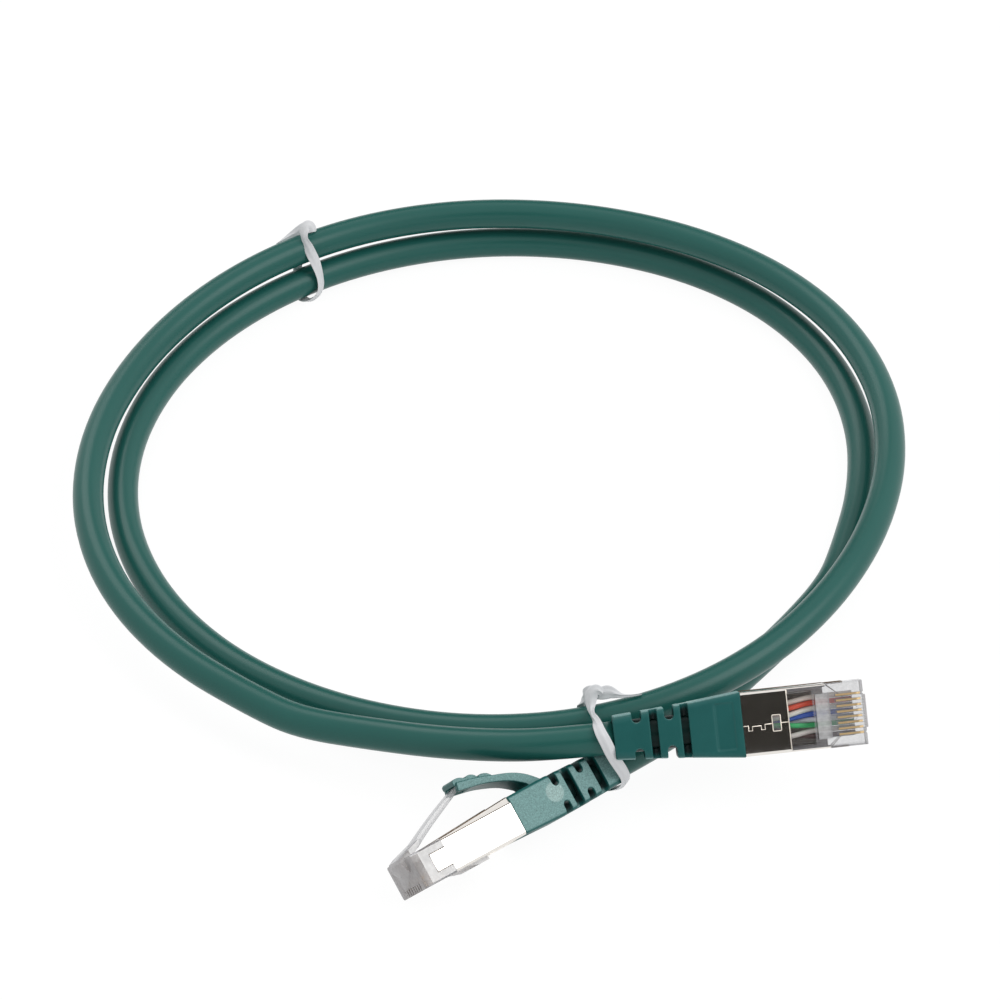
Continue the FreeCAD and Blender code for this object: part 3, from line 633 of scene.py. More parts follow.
def plugBody(s, name, front, back, inset):
    stations = [front, s["rampFront"], back] if front < s["rampFront"] < back else [front, back]
    return loft(name, np.stack([plugSection(s, u, inset) for u in stations]))


# The two feet of the clinch, where the sheet's ends hold each other, as (u, y) points
def footLine(s):
    near, nearEnd, far, farEnd = s["feet"]
    side, depth, bridge = s["seamSide"], s["footDepth"], s["bridge"]
    return [(near, side), (near, depth), (nearEnd, depth), (nearEnd, bridge), (far, bridge), (far, depth),
            (farEnd, depth), (farEnd, side)]


# The joint line as a strip about a broken line of (u, y) points
def seamStrips(s):
    past, side = s["past"], s["seamSide"]
    line = [(s["panelFront"] - past, side), *footLine(s), (s["back"] + past, side)]
    strips = []
    for start, end in zip(line, line[1:]):
        start, end = np.array(start), np.array(end)
        along = unit(end - start) * s["seam"] / 2
        aside = np.array([-along[1], along[0]])
        near, far = start - along, end + along
        corners = np.array([near - aside, far - aside, far + aside, near + aside]) * (-1, 1)
        strips.append(prism("strip", corners, (0, 1), s["low"] - past / 2, s["low"] + past / 2))
    return strips


# The window's outline, as (u, y) points
def windowLine(s):
    length, width = s["window"]
    back, side = s["windowBack"], s["windowSide"]
    corners = rectangle(back - length / 2, side - width / 2, back + length / 2, side + width / 2)
    return rounded(corners, s["windowRound"], 4)


# The whole sheet less its inside, the steps at its front, the open panel, the window and the joint line
def makeShield(s):
    past, half, low, top = s["past"], s["half"], s["low"], s["top"] + s["rise"]
    sheet = plugBody(s, "shield", s["tongueFront"], s["back"], 0.0)
    start = s["tongueFront"] - past
    cutters = [plugBody(s, "inside", start, s["back"] + past, s["sheet"])]
    for bottom, lid in ((s["tongueHalf"], top + past), (low - past, -s["tongueHalf"])):
        corners = rectangle(-s["rampFront"], bottom, -start, lid)
        cutters.append(prism("step", corners, (0, 2), -half - past, half + past))
    flat = half - s["edge"]
    corners = rectangle(-s["panelFront"], -flat, -start, flat)
    cutters.append(prism("panel", corners, (0, 1), low - past, low + s["sheet"]))
    cutters.append(prism("window", windowLine(s) * (-1, 1), (0, 1), low - past, low + past))
    return markInside(s, sharpen(carve(sheet, cutters + seamStrips(s)), 30))


# The sheet's inner side and cut edges take the second metal: faces that don't look out of the nearest side
def markInside(s, thing):
    faces = thing.data.polygons
    normals, centres = read(faces, "normal")[:, 1:], read(faces, "center")[:, 1:]
    half = np.array([s["half"], (s["top"] + s["rise"] - s["low"]) / 2])
    away = centres - (0, s["low"] + half[1])
    nearest = np.argmax(np.abs(away) / half, axis=1)[:, None]
    outward = np.take_along_axis(normals * np.sign(away), nearest, 1)[:, 0]
    return paint(thing, outward < s["outward"])


# A thin bead along a line of (u, y, z) points, in one of the sheet's metals
def bead(s, line, radius, around, metalName):
    points = [(-u, y, z) for u, y, z in line]
    return paint(fixNormals(tube("bead", points, radius, around)), s["metals"].index(metalName))


# Rolled lips that catch the light, in a paler nickel that is partly a painted highlight: on the joint line,
# round the window and along the panel's front edge
def makeLips(s):
    length = s["window"][0]
    back, side = s["windowBack"], s["seamSide"]
    joint = [(s["panelFront"], side), (back - length / 2, side)]
    rest = [(back + length / 2, side), *footLine(s), (s["back"], side)]
    border = windowLine(s)
    flat = s["half"] - s["bend"] * s["frontLipEnd"]
    front = [(s["panelFront"], -flat), (s["panelFront"], flat)]
    lines = ((joint, "lip"), (rest, "lip"), ([*border, border[0]], "lip"), (front, "frontLip"))
    return [bead(s, [(u, y, s["low"]) for u, y in line], s[size], s["lipAround"], "nickelPaintedHighlight")
            for line, size in lines]


# Painted shade lines, thin dark beads that darken the sheet's edges, on both narrow sides: down the stepped
# front, along the shoulder and the top, and down the back
def makePaintedShadeLines(s):
    low, shoulder = s["low"] + s["bend"], s["top"] - s["edge"]
    ramp, tongue, half, back = s["rampFront"], s["tongueHalf"], s["half"], s["back"]
    step = [(ramp, low), (ramp, -tongue), (s["tongueFront"], -tongue), (s["tongueFront"], tongue),
            (ramp, tongue), (ramp, shoulder)]
    edge = [(ramp, half, shoulder), (back - s["shadeLine"], half, shoulder), (back - s["shadeLine"], half, low)]
    top = [(ramp, half - s["edge"], s["top"]), (back, half - s["edge"] - s["topBevel"], s["top"] + s["rise"])]
    lines = ([(u, half, z) for u, z in step], edge, top)
    return [bead(s, [(u, y * side, z) for u, y, z in line], s["shadeLine"], s["shadeLineAround"], "nickelPaintedShade")
            for side in (1, -1) for line in lines]


# Boot: tapered body with crossed relief slots, a framed field and a soft rounded end.
# A station is a place behind the front, the half width, the low and the high side and the corners' radius.

boot = {
    "front": 22.1, "length": 23.4, "count": 40,
    "stations": ((0.0, 6.0, -3.36, 4.2, 0.9), (8.9, 5.05, -3.75, 4.3, 1.1), (15.0, 4.55, -3.65, 4.1, 1.3),
                 (23.4, 4.0, -3.4, 3.8, 1.6)),
    "endRound": 0.35, "endSteps": 7, "endDeep": 0.8, "axis": 0.2, "bore": 3.02, "sleeve": (5.0, 3.27, 3.34),
    "broadSlots": (10.35, 16.0), "broadWidth": 1.4, "broadSpine": 1.6,
    "narrowSlots": (13.1, 19.0), "narrowWidth": 1.7, "narrowSpine": 2.35,
    "frame": (1.4, 3.5, 8.6), "frameRound": 0.3, "frameDepth": 0.1, "reach": 9.0, "past": 1.0,
    "voxel": 0.15, "rounds": 3, "shade": (0.3, 1.2), "gate": (9.2, 0.9), "gateEdge": (1.65, 2.0),
}
narrowTurn = (0.75, 0.93)      # how squarely a face looks sideways: smooth below, grained above


# The boot's half width, low side, high side and corner radius at places behind its front
def bootSizes(b, u):
    table = np.array(b["stations"])
    return [np.interp(u, table[:, 0], column) for column in table[:, 1:].T]


# Rounded rectangles from front to back, drawn in at the end along a quarter circle
def bootSections(b):
    u = np.linspace(0, b["length"], b["count"])
    curl = 1 - np.sin(np.linspace(0, math.pi / 2, b["endSteps"]))
    u = np.append(u[u < b["length"] - b["endRound"]], b["length"] - b["endRound"] * curl)
    left = np.clip((u - b["length"]) / b["endRound"] + 1, 0, 1)
    inset = b["endRound"] * (1 - np.sqrt(1 - left**2)) * b["endDeep"]
    rings = []
    for place, draw, half, low, high, radius in zip(u, inset, *bootSizes(b, u)):
        w, d, h = half - draw, low + draw, high - draw
        ring = rounded([(w, d), (w, h), (-w, h), (-w, d)], radius, 8)
        rings.append(np.column_stack([np.full(len(ring), -b["front"] - place), ring]))
    return np.stack(rings)


# A slot with a round floor: straight walls that end in a half circle, open towards the far side
def slotOutline(centre, width, floor, reach, steps=12):
    side = np.sign(reach)
    angle = np.linspace(-math.pi / 2, math.pi / 2, steps)
    bottom = [-centre + width / 2 * np.sin(angle), floor + side * width / 2 * (1 - np.cos(angle))]
    return np.vstack([np.column_stack(bottom), [(-centre + width / 2, reach), (-centre - width / 2, reach)]])


def makeBoot(b):
    body = loft("boot", bootSections(b))
    cutters = []
    for kind, level, axes in (("broad", b["axis"], (0, 2)), ("narrow", 0, (0, 1))):
        for u in b[kind + "Slots"]:
            for side in (1, -1):
                floor = level + side * b[kind + "Spine"]
                outline = slotOutline(b["front"] + u, b[kind + "Width"], floor, side * b["reach"])
                cutters.append(prism("slot", outline, axes, -b["reach"], b["reach"]))
    start, length, width = b["frame"]
    face = b["stations"][0][2]
    corners = rectangle(-b["front"] - start - length, -width / 2, -b["front"] - start, width / 2)
    field = rounded(corners, b["frameRound"], 4)
    cutters.append(prism("field", field, (0, 1), face - b["past"], face + b["frameDepth"]))
    ends = (b["front"] - b["past"], b["front"] + b["length"] + b["past"])
    cutters.append(loft("bore", np.stack([ringPoints(u, b["bore"], b["axis"]) for u in ends])))
    return mould([carve(body, cutters)], b["voxel"], b["rounds"])


# The crimped sleeve under the boot's front: a thin ring, drawn round its four edges
def makeSleeve(b):
    length, inner, outer = b["sleeve"]
    front, back = b["front"], b["front"] + length
    edges = ((front, inner), (front, outer), (back, outer), (back, inner))
    rings = [ringPoints(u, radius, b["axis"]) for u, radius in edges]
    faces = gridFaces(len(rings), len(rings[0]), wrapRows=True, wrapColumns=True).tolist()
    return sharpen(fixNormals(makeObject("sleeve", np.vstack(rings), faces)))


# The round mark that the mould's gate left on each narrow side, by the distance from its middle
def markGate(b, thing):
    points = read(thing.data.vertices, "co")
    u, z = b["gate"]
    away = np.hypot(points[:, 0] + b["front"] + u, points[:, 2] - z)
    return store(thing, "gateMark", 1 - smoothStep(away, *b["gateEdge"]))


# How far each point's face turns to the plug's narrow side, kept for the grain
def markNarrow(thing):
    across = np.abs(read(thing.data.vertices, "normal")[:, 1])
    return store(thing, "narrowSide", smoothStep(across, *narrowTurn))


# How deep each point lies under the boot's outside, kept as the mask of the painted shade in the slots
def markSlotShade(b, thing):
    points = read(thing.data.vertices, "co")
    half, low, high, _ = bootSizes(b, -points[:, 0] - b["front"])
    depth = np.minimum(half - np.abs(points[:, 1]), np.minimum(points[:, 2] - low, high - points[:, 2]))
    return store(thing, "paintedSlotShade", smoothStep(depth, *b["shade"]))


# Guard arm: a curved strip with three grip ribs, ending in a hood with two cheeks round the latch's tip.
# Lines are (u, z) points, and a rib is its middle, half its length and its height.

arm = {
    "half": 3.2, "foot": ((31.4, 3.4), (28.6, 3.4)),
    "top": ((15.9, 10.75), (20.0, 9.9), (22.6, 9.0), (25.4, 8.15), (27.5, 7.2), (29.4, 5.9), (30.9, 4.3)),
    "bottom": ((15.5, 9.2), (18.5, 8.7), (20.6, 8.3), (22.8, 7.6), (25.0, 6.75), (26.7, 5.75), (28.1, 4.6)),
    "ribs": ((16.75, 1.45, 0.85), (19.15, 1.25, 0.9), (21.75, 1.25, 0.7)), "ribInset": 0.55,
    "ribFront": 0.45, "ribBack": 24.0, "ribSteps": 90, "ribRoot": 0.4, "roofRoot": 0.35, "leastRib": 0.15,
    "pocketHalf": 1.98, "pocketBack": 18.4, "roof": 10.75, "overlap": 0.3, "steps": 6,
    "voxel": 0.12, "rounds": 3, "bend": ((29.6, 0, 4.4), (26.4, 0, 6.6)),
}


# The ribs' outline: half ellipses on the strip's top line, down to just under it
def ribOutline(a, top, bottom):
    u = np.linspace(a["top"][0][0] - a["ribFront"], a["ribBack"], a["ribSteps"])
    bumps = [size * np.sqrt(np.clip(1 - ((u - at) / half) ** 2, 0, 1)) for at, half, size in a["ribs"]]
    crest = np.interp(u, top[:, 0], top[:, 1]) + np.max(bumps, axis=0)
    floor = np.interp(u, bottom[:, 0], bottom[:, 1]) + a["ribRoot"]
    under = np.maximum(floor, np.where(u < a["pocketBack"], a["roof"] - a["roofRoot"], 0))
    under = np.minimum(under, crest - a["leastRib"])
    return np.vstack([np.column_stack([-u, crest]), np.column_stack([-u, under])[::-1]])


def makeArm(a):
    top, bottom = [smoothLine(a[line], a["steps"]) for line in ("top", "bottom")]
    behind = a["pocketBack"]
    ways = []
    for line in (top, bottom):
        at = [behind, np.interp(behind, line[:, 0], line[:, 1])]
        ways += [np.vstack([line[line[:, 0] < behind], at]), np.vstack([at, line[line[:, 0] > behind]])]
    frontTop, edgeTop, frontBottom, edgeBottom = ways
    strip = np.vstack([edgeTop, a["foot"], edgeBottom[::-1]])
    pieces = [prism("guard_arm", strip * (-1, 1), (0, 2), -a["half"], a["half"])]
    past = (a["overlap"], 0)
    cheek = np.vstack([frontTop, frontTop[-1] + past, frontBottom[-1] + past, frontBottom[::-1]]) * (-1, 1)
    for low, high in ((-a["half"], -a["pocketHalf"]), (a["pocketHalf"], a["half"])):
        pieces.append(prism("cheek", cheek, (0, 2), low, high))
    inner = a["half"] - a["ribInset"]
    pieces.append(prism("ribs", ribOutline(a, top, bottom), (0, 2), -inner, inner))
    return mould(pieces, a["voxel"], a["rounds"])


# Latch lever: a flat bar with soft edges carried along its line of (u, z) points from the base to the tip

lever = {
    "line": ((3.4, 4.15), (4.6, 4.75), (6.2, 5.55), (9.0, 6.85), (12.6, 8.35), (16.15, 9.8)),
    "width": (5.6, 3.7, 3.25, 3.25, 3.2, 3.1), "thick": (0.9, 1.15, 1.15, 1.1, 1.05, 0.85), "edge": 0.22,
    "steps": 8, "edgeSteps": 5, "bend": ((3.6, 0, 4.2), (6.4, 0, 5.6)),
}


def makeLever(l):
    line = smoothLine(np.column_stack([l["line"], l["width"], l["thick"]]), l["steps"])
    heading = unit(np.gradient(line[:, :2], axis=0))
    rings = []
    for (u, z, width, thick), (du, dz) in zip(line, heading):
        w, t = width / 2, thick / 2
        across, lift = rounded([(w, -t), (w, t), (-w, t), (-w, -t)], l["edge"], l["edgeSteps"]).T
        rings.append(np.column_stack([-(u - dz * lift), across, z + du * lift]))
    return sharpen(loft("lever", np.stack(rings)))


# Conductors: round wires that leave the jacket in a bundle, fan out and cross, and end side by side.
# Each has its place (y, z) in the fan and in the bundle.

conductors = {
    "radius": 0.47, "pitch": 1.016, "row": -0.2, "front": 1.9, "bar": 8.7, "barHalf": 1.2, "around": 16,
    "steps": 7, "jacketEnd": 20.0, "straight": 2.5, "loosen": 1.1, "fanPlace": 14.8, "crossPlace": 12.4,
    "crossShare": 0.5, "axis": 0.2,
    "places": {
        "white_orange": ((-2.75, -0.5), (-1.7, 0.0)), "orange": ((-1.75, -1.1), (-1.2, -0.9)),
        "white_green": ((-0.5, -1.0), (-0.3, -1.0)), "blue": ((0.2, -0.35), (-0.2, 0.1)),
        "white_blue": ((0.7, 0.75), (0.4, 1.2)), "green": ((1.0, -1.35), (0.7, -1.1)),
        "white_brown": ((3.3, -0.9), (1.8, -0.5)), "brown": ((2.4, -0.1), (1.2, 0.4)),
    },
}


def makeConductor(c, name, index):
    y = (index - (len(wires) - 1) / 2) * c["pitch"]
    (fanY, fanZ), (endY, endZ) = c["places"][name]
    end, share = c["jacketEnd"], c["crossShare"]
    points = [(end, endY, endZ + c["axis"]), (end - c["straight"], endY * c["loosen"], endZ + c["axis"]),
              (c["fanPlace"], fanY, fanZ), (c["crossPlace"], fanY * share + y * share, fanZ),
              (c["bar"] + c["barHalf"], y, c["row"]), (c["bar"] - c["barHalf"], y, c["row"]),
              (c["front"], y, c["row"])]
    return tube("wire", smoothLine(points, c["steps"]) * (-1, 1, 1), c["radius"], c["around"])


# Clear body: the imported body's own faces, merged, with broken edges, and divided where its plastic changes

body = {
    "edge": 0.11, "merge": 0.002, "flat": 1.0, "angle": 28.0, "level": 0.7, "cuts": (1.5, 9.3, 13.8),
    "inner": (-2.95, 2.9), "panel": 4.9, "plastics": ("clear", "noseSide", "paleSide", "inside"),
}


def makeClearBody(b, side):
    def simplify(work):
        work.transform(plugMatrix(side).inverted())
        bmesh.ops.remove_doubles(work, verts=work.verts, dist=b["merge"])
        flat = math.radians(b["flat"])
        bmesh.ops.dissolve_limit(work, angle_limit=flat, verts=work.verts, edges=work.edges)

    def divide(work):
        planes = [((-u, 0, 0), (1, 0, 0)) for u in b["cuts"]]
        planes += [((0, y, 0), (0, 1, 0)) for y in (-b["panel"], b["panel"])]
        for place, way in planes:
            everything = [*work.verts, *work.edges, *work.faces]
            bmesh.ops.bisect_plane(work, geom=everything, plane_co=place, plane_no=way)

    thing = addToScene("housing", bpy.data.meshes.new("housing"))
    rework(thing, simplify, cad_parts["housing_" + side])
    adjust(thing.modifiers.new("edges", "BEVEL"), width=b["edge"], segments=2, limit_method="ANGLE",
           angle_limit=math.radians(b["angle"]), use_clamp_overlap=True)
    return dividePlastics(b, rework(sharpen(settle(thing)), divide))


# Level faces are clear outside and almost unseen inside, and upright ones are pale, or hazy at the nose
def dividePlastics(b, thing):
    normals, centres = read(thing.data.polygons, "normal"), read(thing.data.polygons, "center")
    u, y, z = -centres[:, 0], centres[:, 1], centres[:, 2]
    nose, start, end = b["cuts"]
    level = np.abs(normals[:, 2]) > b["level"]
    within = (z > b["inner"][0]) & (z < b["inner"][1])
    panel = (u > start) & (u < end) & (np.abs(y) < b["panel"])
    clear, noseSide, paleSide, inside = range(len(b["plastics"]))
    flat, upright = np.where(within | panel, inside, clear), np.where(u < nose, noseSide, paleSide)
    return paint(thing, np.where(level, flat, upright))


# Load bar: a clear block over the wires, ribbed on its contact side

bar = {"front": 6.2, "length": 2.5, "half": 4.06, "low": -3.24, "high": -0.72, "rib": 0.16, "pitch": 1.016,
       "count": 97}


# The ribbed side is a wave of cosines as wide as the wires' spacing
def makeBar(b):
    y = np.linspace(-b["half"], b["half"], b["count"])
    wave = b["low"] + b["rib"] * (1 - np.cos(2 * math.pi * y / b["pitch"])) / 2
    outline = np.vstack([np.column_stack([y, wave]), [(b["half"], b["high"]), (-b["half"], b["high"])]])
    return sharpen(fixNormals(prism("load_bar", outline, (1, 2), -b["front"] - b["length"], -b["front"])))


shield = gather([makeShield(shell), *makeLips(shell), *makePaintedShadeLines(shell)])
print("shield made, faces:", len(shield.data.polygons))
bootBody = markGate(boot, markSlotShade(boot, markNarrow(makeBoot(boot))))
print("boot made, faces:", len(bootBody.data.polygons))
guardArm = markNarrow(makeArm(arm))
print("guard arm made, faces:", len(guardArm.data.polygons))
latchLever = makeLever(lever)
loadBar = makeBar(bar)
sleeve = makeSleeve(boot)
wireShapes = {name: makeConductor(conductors, name, index) for index, name in enumerate(wires)}
print("lever and conductors made")

# Both plugs: the new pieces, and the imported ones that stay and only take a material

fixed = "patch_cable"
# The cable's end in the boot takes the darker jacket copy, a painted shade
stays = {"braid": "braid", "cable_end": "jacketPaintedShade"}
stays.update(("contact_%d" % number, "gold") for number in range(1, len(wires) + 1))
onCable = {}
for side in plugs:
    housing = makeClearBody(body, side)
    pieces = [
        (housing, "clear_body", body["plastics"], "clear_plastic", "housing"),
        (shield, "shield_sheet", shell["metals"], "nickel_sheet", "shield"),
        (bootBody, "strain_boot", ["boot"], "boot_green", "boot"),
        (sleeve, "crimp_sleeve", ["nickel"], "nickel_sheet", "ferrule"),
        (loadBar, "ribbed_bar", ["milky"], "clear_plastic", "load_bar"),
    ]
    for name, shape in wireShapes.items():
        pieces.append((shape, "conductor_" + name, [name], "wire_" + name, "wire_" + name))
    onCable[side] = [part(side, fixed, *piece) for piece in pieces]
    remove([housing])
    latch = part(side, None, latchLever, "latch_bar", ["lever"], "clear_plastic", "latch")
    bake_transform(latch)
    guard = part(side, None, guardArm, "latch_guard", ["boot"], "boot_green", "boot_arm")
    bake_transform(guard)
    onCable[side] += [latch, guard]
    for name, look in stays.items():
        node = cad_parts[name + "_" + side]
        node.data.materials.clear()
        node.data.materials.append(materials[look])
        onCable[side].append(node)
remove([shield, bootBody, guardArm, latchLever, loadBar, sleeve, *wireShapes.values()])
print("plugs placed, pieces on each:", len(onCable["a"]))

# Twist ties: one ribbon each over a soft wire, with both ends folded round each other and left on the strand.
# A row is a point of the middle line, the way the ribbon's face looks there and the share of its full width.

tieOne = (
    (-46.0, 80.3, 10.7, 0, -0.2, 0.98, 0.15), (-44.5, 80.8, 11.4, 0, -0.3, 0.95, 0.5),
    (-43.0, 81.3, 12.2, 0, -0.5, 0.87, 0.75), (-41.7, 81.5, 13.0, 0, -0.7, 0.7, 0.95),
    (-40.5, 81.7, 13.9, 0, -0.73, 0.69, 1), (-39.3, 81.6, 14.6, 0.2, -0.7, 0.69, 1),
    (-38.2, 81.7, 13.9, 0.9, -0.2, 0.4, 0.8), (-38.6, 83.0, 12.9, 0.5, 0.8, 0.4, 0.8),
    (-40.1, 84.0, 11.6, -0.3, 0.9, 0.3, 0.9), (-41.2, 84.0, 9.2, -0.5, 0.85, 0, 1),
    (-41.9, 82.6, 6.8, -0.5, 0.8, -0.3, 1), (-41.9, 80.3, 4.4, -0.55, 0.82, -0.1, 1),
    (-42.0, 78.6, 1.4, -0.45, 0.6, -0.65, 1), (-41.6, 76.6, 0.4, 0, 0, -1, 1),
    (-40.9, 74.9, 0.5, 0.05, -0.2, -0.98, 1), (-39.5, 73.8, 0.9, 0.3, -0.55, -0.75, 1),
    (-38.0, 73.7, 1.8, 0.5, -0.7, -0.45, 1), (-37.1, 74.2, 3.0, 0.72, -0.6, -0.25, 1),
    (-36.85, 74.6, 4.2, 0.8, -0.55, -0.1, 1), (-36.9, 75.0, 5.6, 0.85, -0.5, 0.1, 1),
    (-37.2, 75.5, 7.1, 0.75, -0.5, 0.4, 1), (-37.7, 76.0, 8.7, 0.5, -0.65, 0.6, 1),
    (-38.2, 76.4, 10.0, 0.25, -0.72, 0.65, 1), (-38.7, 76.6, 11.1, 0, -0.73, 0.69, 1),
    (-39.3, 77.2, 12.5, -0.35, -0.7, 0.6, 1), (-40.1, 78.4, 13.6, -0.8, -0.4, 0.4, 0.9),
    (-40.3, 79.3, 14.9, -0.4, -0.7, 0.6, 0.9), (-39.8, 80.2, 15.9, 0, -0.73, 0.69, 1),
    (-38.7, 80.4, 15.5, 0.3, -0.7, 0.6, 1), (-38.5, 79.9, 14.4, 0.3, -0.7, 0.6, 0.8))
tieTwo = (
    (26.1, -51.4, 13.6, 0, -0.1, 0.99, 0.12), (24.4, -51.8, 13.6, 0, -0.2, 0.98, 0.22),
    (22.6, -52.0, 13.8, 0, -0.3, 0.95, 0.35), (21.2, -51.9, 14.3, 0, -0.73, 0.69, 0.8),
    (20.0, -51.8, 14.7, 0, -0.73, 0.69, 1.2), (18.8, -52.0, 14.5, -0.2, -0.7, 0.69, 1.1),
    (17.7, -51.9, 14.6, 0, -0.73, 0.69, 1.1), (16.6, -51.7, 14.5, -0.4, -0.6, 0.7, 1.2),
    (15.7, -51.6, 13.6, -0.6, -0.5, 0.6, 1.1), (15.4, -51.4, 12.2, -0.8, 0.3, 0.4, 1),
    (15.3, -51.0, 10.6, -0.3, 0.95, 0, 1), (15.5, -51.2, 8.6, -0.2, 0.97, -0.1, 1),
    (15.7, -52.3, 6.8, -0.1, 0.6, -0.8, 1), (15.9, -54.3, 6.0, 0, 0.3, -0.95, 1),
    (16.2, -57.0, 5.3, -0.4, 0.7, -0.6, 1), (16.6, -58.9, 3.8, -0.5, 0.6, -0.65, 1),
    (18.3, -61.2, 1.7, -0.35, 0.45, -0.82, 1), (20.3, -63.4, 1.2, 0.3, -0.4, -0.85, 1),
    (21.47, -64.8, 2.75, 0.45, -0.66, -0.6, 0.9), (22.5, -66.1, 4.9, 0.48, -0.66, -0.58, 0.8),
    (22.95, -66.9, 6.8, 0.59, -0.78, 0.16, 0.8), (23.0, -67.25, 8.3, 0.3, -0.85, 0.4, 0.85),
    (22.5, -67.5, 10.0, 0.1, -0.85, 0.5, 0.95), (21.7, -67.55, 11.8, 0.05, -0.85, 0.5, 1),
    (20.8, -67.4, 13.5, 0, -0.85, 0.5, 1), (20.0, -67.1, 15.2, 0, -0.85, 0.53, 1),
    (19.2, -66.4, 16.9, 0, -0.75, 0.66, 1), (18.3, -65.2, 18.0, 0, -0.5, 0.87, 0.95),
    (17.8, -63.6, 18.3, -0.1, -0.45, 0.88, 0.85), (17.45, -61.0, 17.0, -0.5, -0.4, 0.75, 0.75),
    (17.2, -58.2, 14.9, -0.75, -0.4, 0.5, 0.65), (17.0, -56.0, 13.7, -0.6, -0.5, 0.6, 0.65),
    (16.8, -54.4, 13.6, -0.2, -0.7, 0.69, 0.8), (16.7, -53.3, 14.5, 0.1, -0.73, 0.67, 1.1),
    (17.1, -52.5, 15.4, 0.2, -0.73, 0.67, 1.1), (18.0, -52.0, 15.7, 0.2, -0.73, 0.67, 0.9),
    (18.9, -52.4, 14.9, 0.2, -0.73, 0.67, 0.6))
ties = {
    "one": tieOne, "two": tieTwo, "width": 2.2, "wing": 0.12, "bead": 0.24, "beadShare": 0.28, "edgePower": 6,
    "around": 20, "steps": 5, "count": 300,
}


# The same line with its points equally far apart
def evenly(line, count):
    along = np.concatenate([[0], np.cumsum(np.linalg.norm(np.diff(line[:, :3], axis=0), axis=1))])
    at = np.linspace(0, along[-1], count)
    return np.stack([np.interp(at, along, column) for column in line.T], -1)


# Ribbon section: thin wings and a round bead over the wire in the middle
def ribbonSection(t, tiny=1e-6):
    turn = np.linspace(0, 2 * math.pi, t["around"], endpoint=False)
    side = np.cos(turn)
    edge = np.sqrt(np.clip(1 - side ** t["edgePower"], 0, 1))
    thick = (t["wing"] + t["bead"] * np.exp(-((side / t["beadShare"]) ** 2))) * edge
    return side * t["width"] / 2, np.sign(np.sin(turn) + tiny) * thick


def makeTie(t, which, material):
    line = evenly(smoothLine(t[which], t["steps"]), t["count"])
    points, face, share = line[:, :3], line[:, 3:6], line[:, 6:]
    heading = unit(np.gradient(points, axis=0))
    face = unit(face - heading * (face * heading).sum(1, keepdims=True))
    wide = np.cross(heading, face) * share
    side, lift = ribbonSection(t)
    rings = points[:, None] + side[:, None] * wide[:, None] + lift[:, None] * face[:, None]
    tie = fixNormals(sharpen(loft("twist_tie_" + which, rings * mm), 60))
    tie.data.materials.append(material)
    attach(tie, "patch_cable")
    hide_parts("tie_" + which)


for which in ("one", "two"):
    makeTie(ties, which, materials["tie"])
print("ties made")

# Floor and light: each lamp and card looks back along its way to the object from its distance, in metres

studio = {
    "floor": 4.0, "floorLevel": -0.00005, "floorColour": (0.93, 0.93, 0.93), "shown": 0.94,
    "shadow": (0.10, 0.10, 0.10), "fill": 0.55,
    "key": {"way": (0.65, -0.08, 0.756), "distance": 1.3, "size": 0.9, "power": 5.6},
    "back": {"way": (-0.35, 0.62, 0.70), "distance": 1.3, "size": 0.8, "power": 3.2},
    "flag": {"way": (0.0, -0.7254, 0.6884), "distance": 1.25, "size": 0.62, "colour": (0.045, 0.042, 0.038)},
    "card": {"way": (-0.09, 0.92, 0.36), "distance": 1.5, "size": 0.9, "colour": (0.10, 0.075, 0.055)},
}


# 1 for the rays that show the surroundings, to the camera, in metal and through clear plastic, and else 0
def rayShown(tree):
    path = addNode(tree, "LightPath", {}).outputs
    shown = path["Is Camera Ray"]
    for label in ("Is Transmission Ray", "Is Glossy Ray"):
        shown = calculate(tree, "MAXIMUM", shown, path[label])
    return shown


# A square of one face in the studio, which isn't part of the object, with a dull material
def makeCard(name, corners):
    card = makeObject(name, corners, [(0, 1, 2, 3)], smooth=False)
    material, tree, shader = startMaterial(name)
    shader["Specular IOR Level"].default_value = 0
    card.data.materials.append(material)
    return card, tree, shader


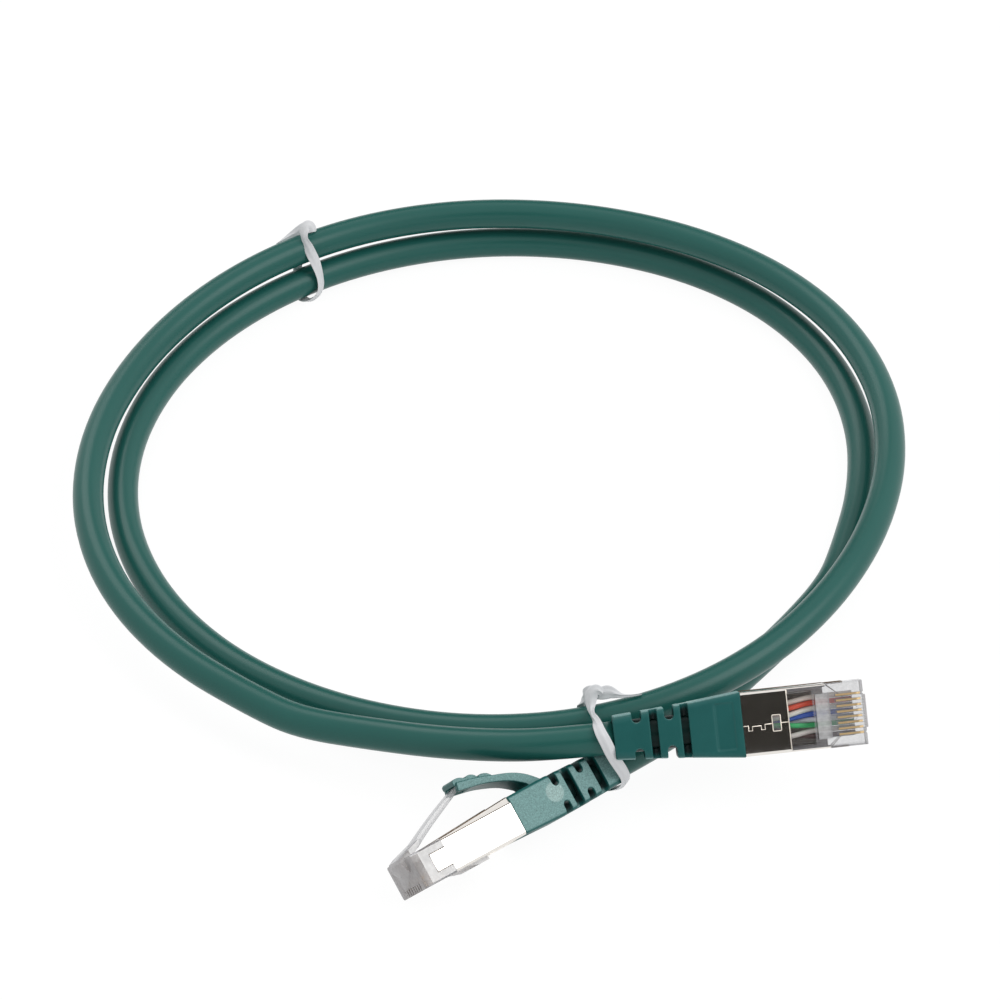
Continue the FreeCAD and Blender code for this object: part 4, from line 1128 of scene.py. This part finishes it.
# The floor bounces light as plain white card, and is shown white with a trace of the object's shadow
def makeFloor(s):
    square = rectangle(-s["floor"], -s["floor"], s["floor"], s["floor"])
    _, tree, shader = makeCard("floor", [(x, y, s["floorLevel"]) for x, y in square])
    seen = rayShown(tree)
    give(tree, shader["Base Color"], mix(tree, seen, rgba(s["floorColour"]), rgba(s["shadow"])))
    give(tree, shader["Emission Strength"], calculate(tree, "MULTIPLY", seen, s["shown"]))
    shader["Emission Color"].default_value = (1, 1, 1, 1)
    shader["Roughness"].default_value = 1


# Across, up and back for something that looks against a way, level across
def facing(way):
    back = unit(way)
    across = np.cross((0, 0, 1), back)
    return Matrix(np.column_stack([unit(across), unit(np.cross(back, across)), back]).tolist())


def makeLamp(name, l):
    data = adjust(bpy.data.lights.new(name, "AREA"), shape="DISK", size=l["size"], energy=l["power"])
    place = Matrix.Translation([value * l["distance"] for value in unit(l["way"])])
    addToScene(name, data).matrix_world = place @ facing(l["way"]).to_4x4()


# A dark card, which the flat metal that faces it mirrors
def makeFlag(f):
    across, up, _ = [np.array(column) for column in facing(f["way"]).col]
    size = f["size"] / 2
    centre = unit(f["way"]) * f["distance"]
    corners = [centre + across * a * size + up * b * size for a, b in rectangle(-1, -1, 1, 1)]
    flag, _, shader = makeCard("flag", corners)
    shader["Base Color"].default_value = rgba(f["colour"])
    adjust(flag, visible_camera=False, visible_transmission=False, visible_diffuse=False)


# The world lights the object softly, and shows white to the camera, to metal and through clear plastic
def makeWorld(s):
    world = bpy.data.worlds.new("world")
    world.use_nodes = True
    tree = world.node_tree
    background = tree.nodes["Background"].inputs
    background["Color"].default_value = (1, 1, 1, 1)
    strength = addNode(tree, "MapRange", {"Value": rayShown(tree), "To Min": s["fill"], "To Max": 1})
    give(tree, background["Strength"], strength.outputs[0])
    bpy.context.scene.world = world


makeFloor(studio)
makeLamp("key", studio["key"])
makeLamp("back", studio["back"])
makeFlag(studio["flag"])
makeFlag(studio["card"])
makeWorld(studio)
bpy.context.scene.view_settings.view_transform = "Standard"
print("studio made")
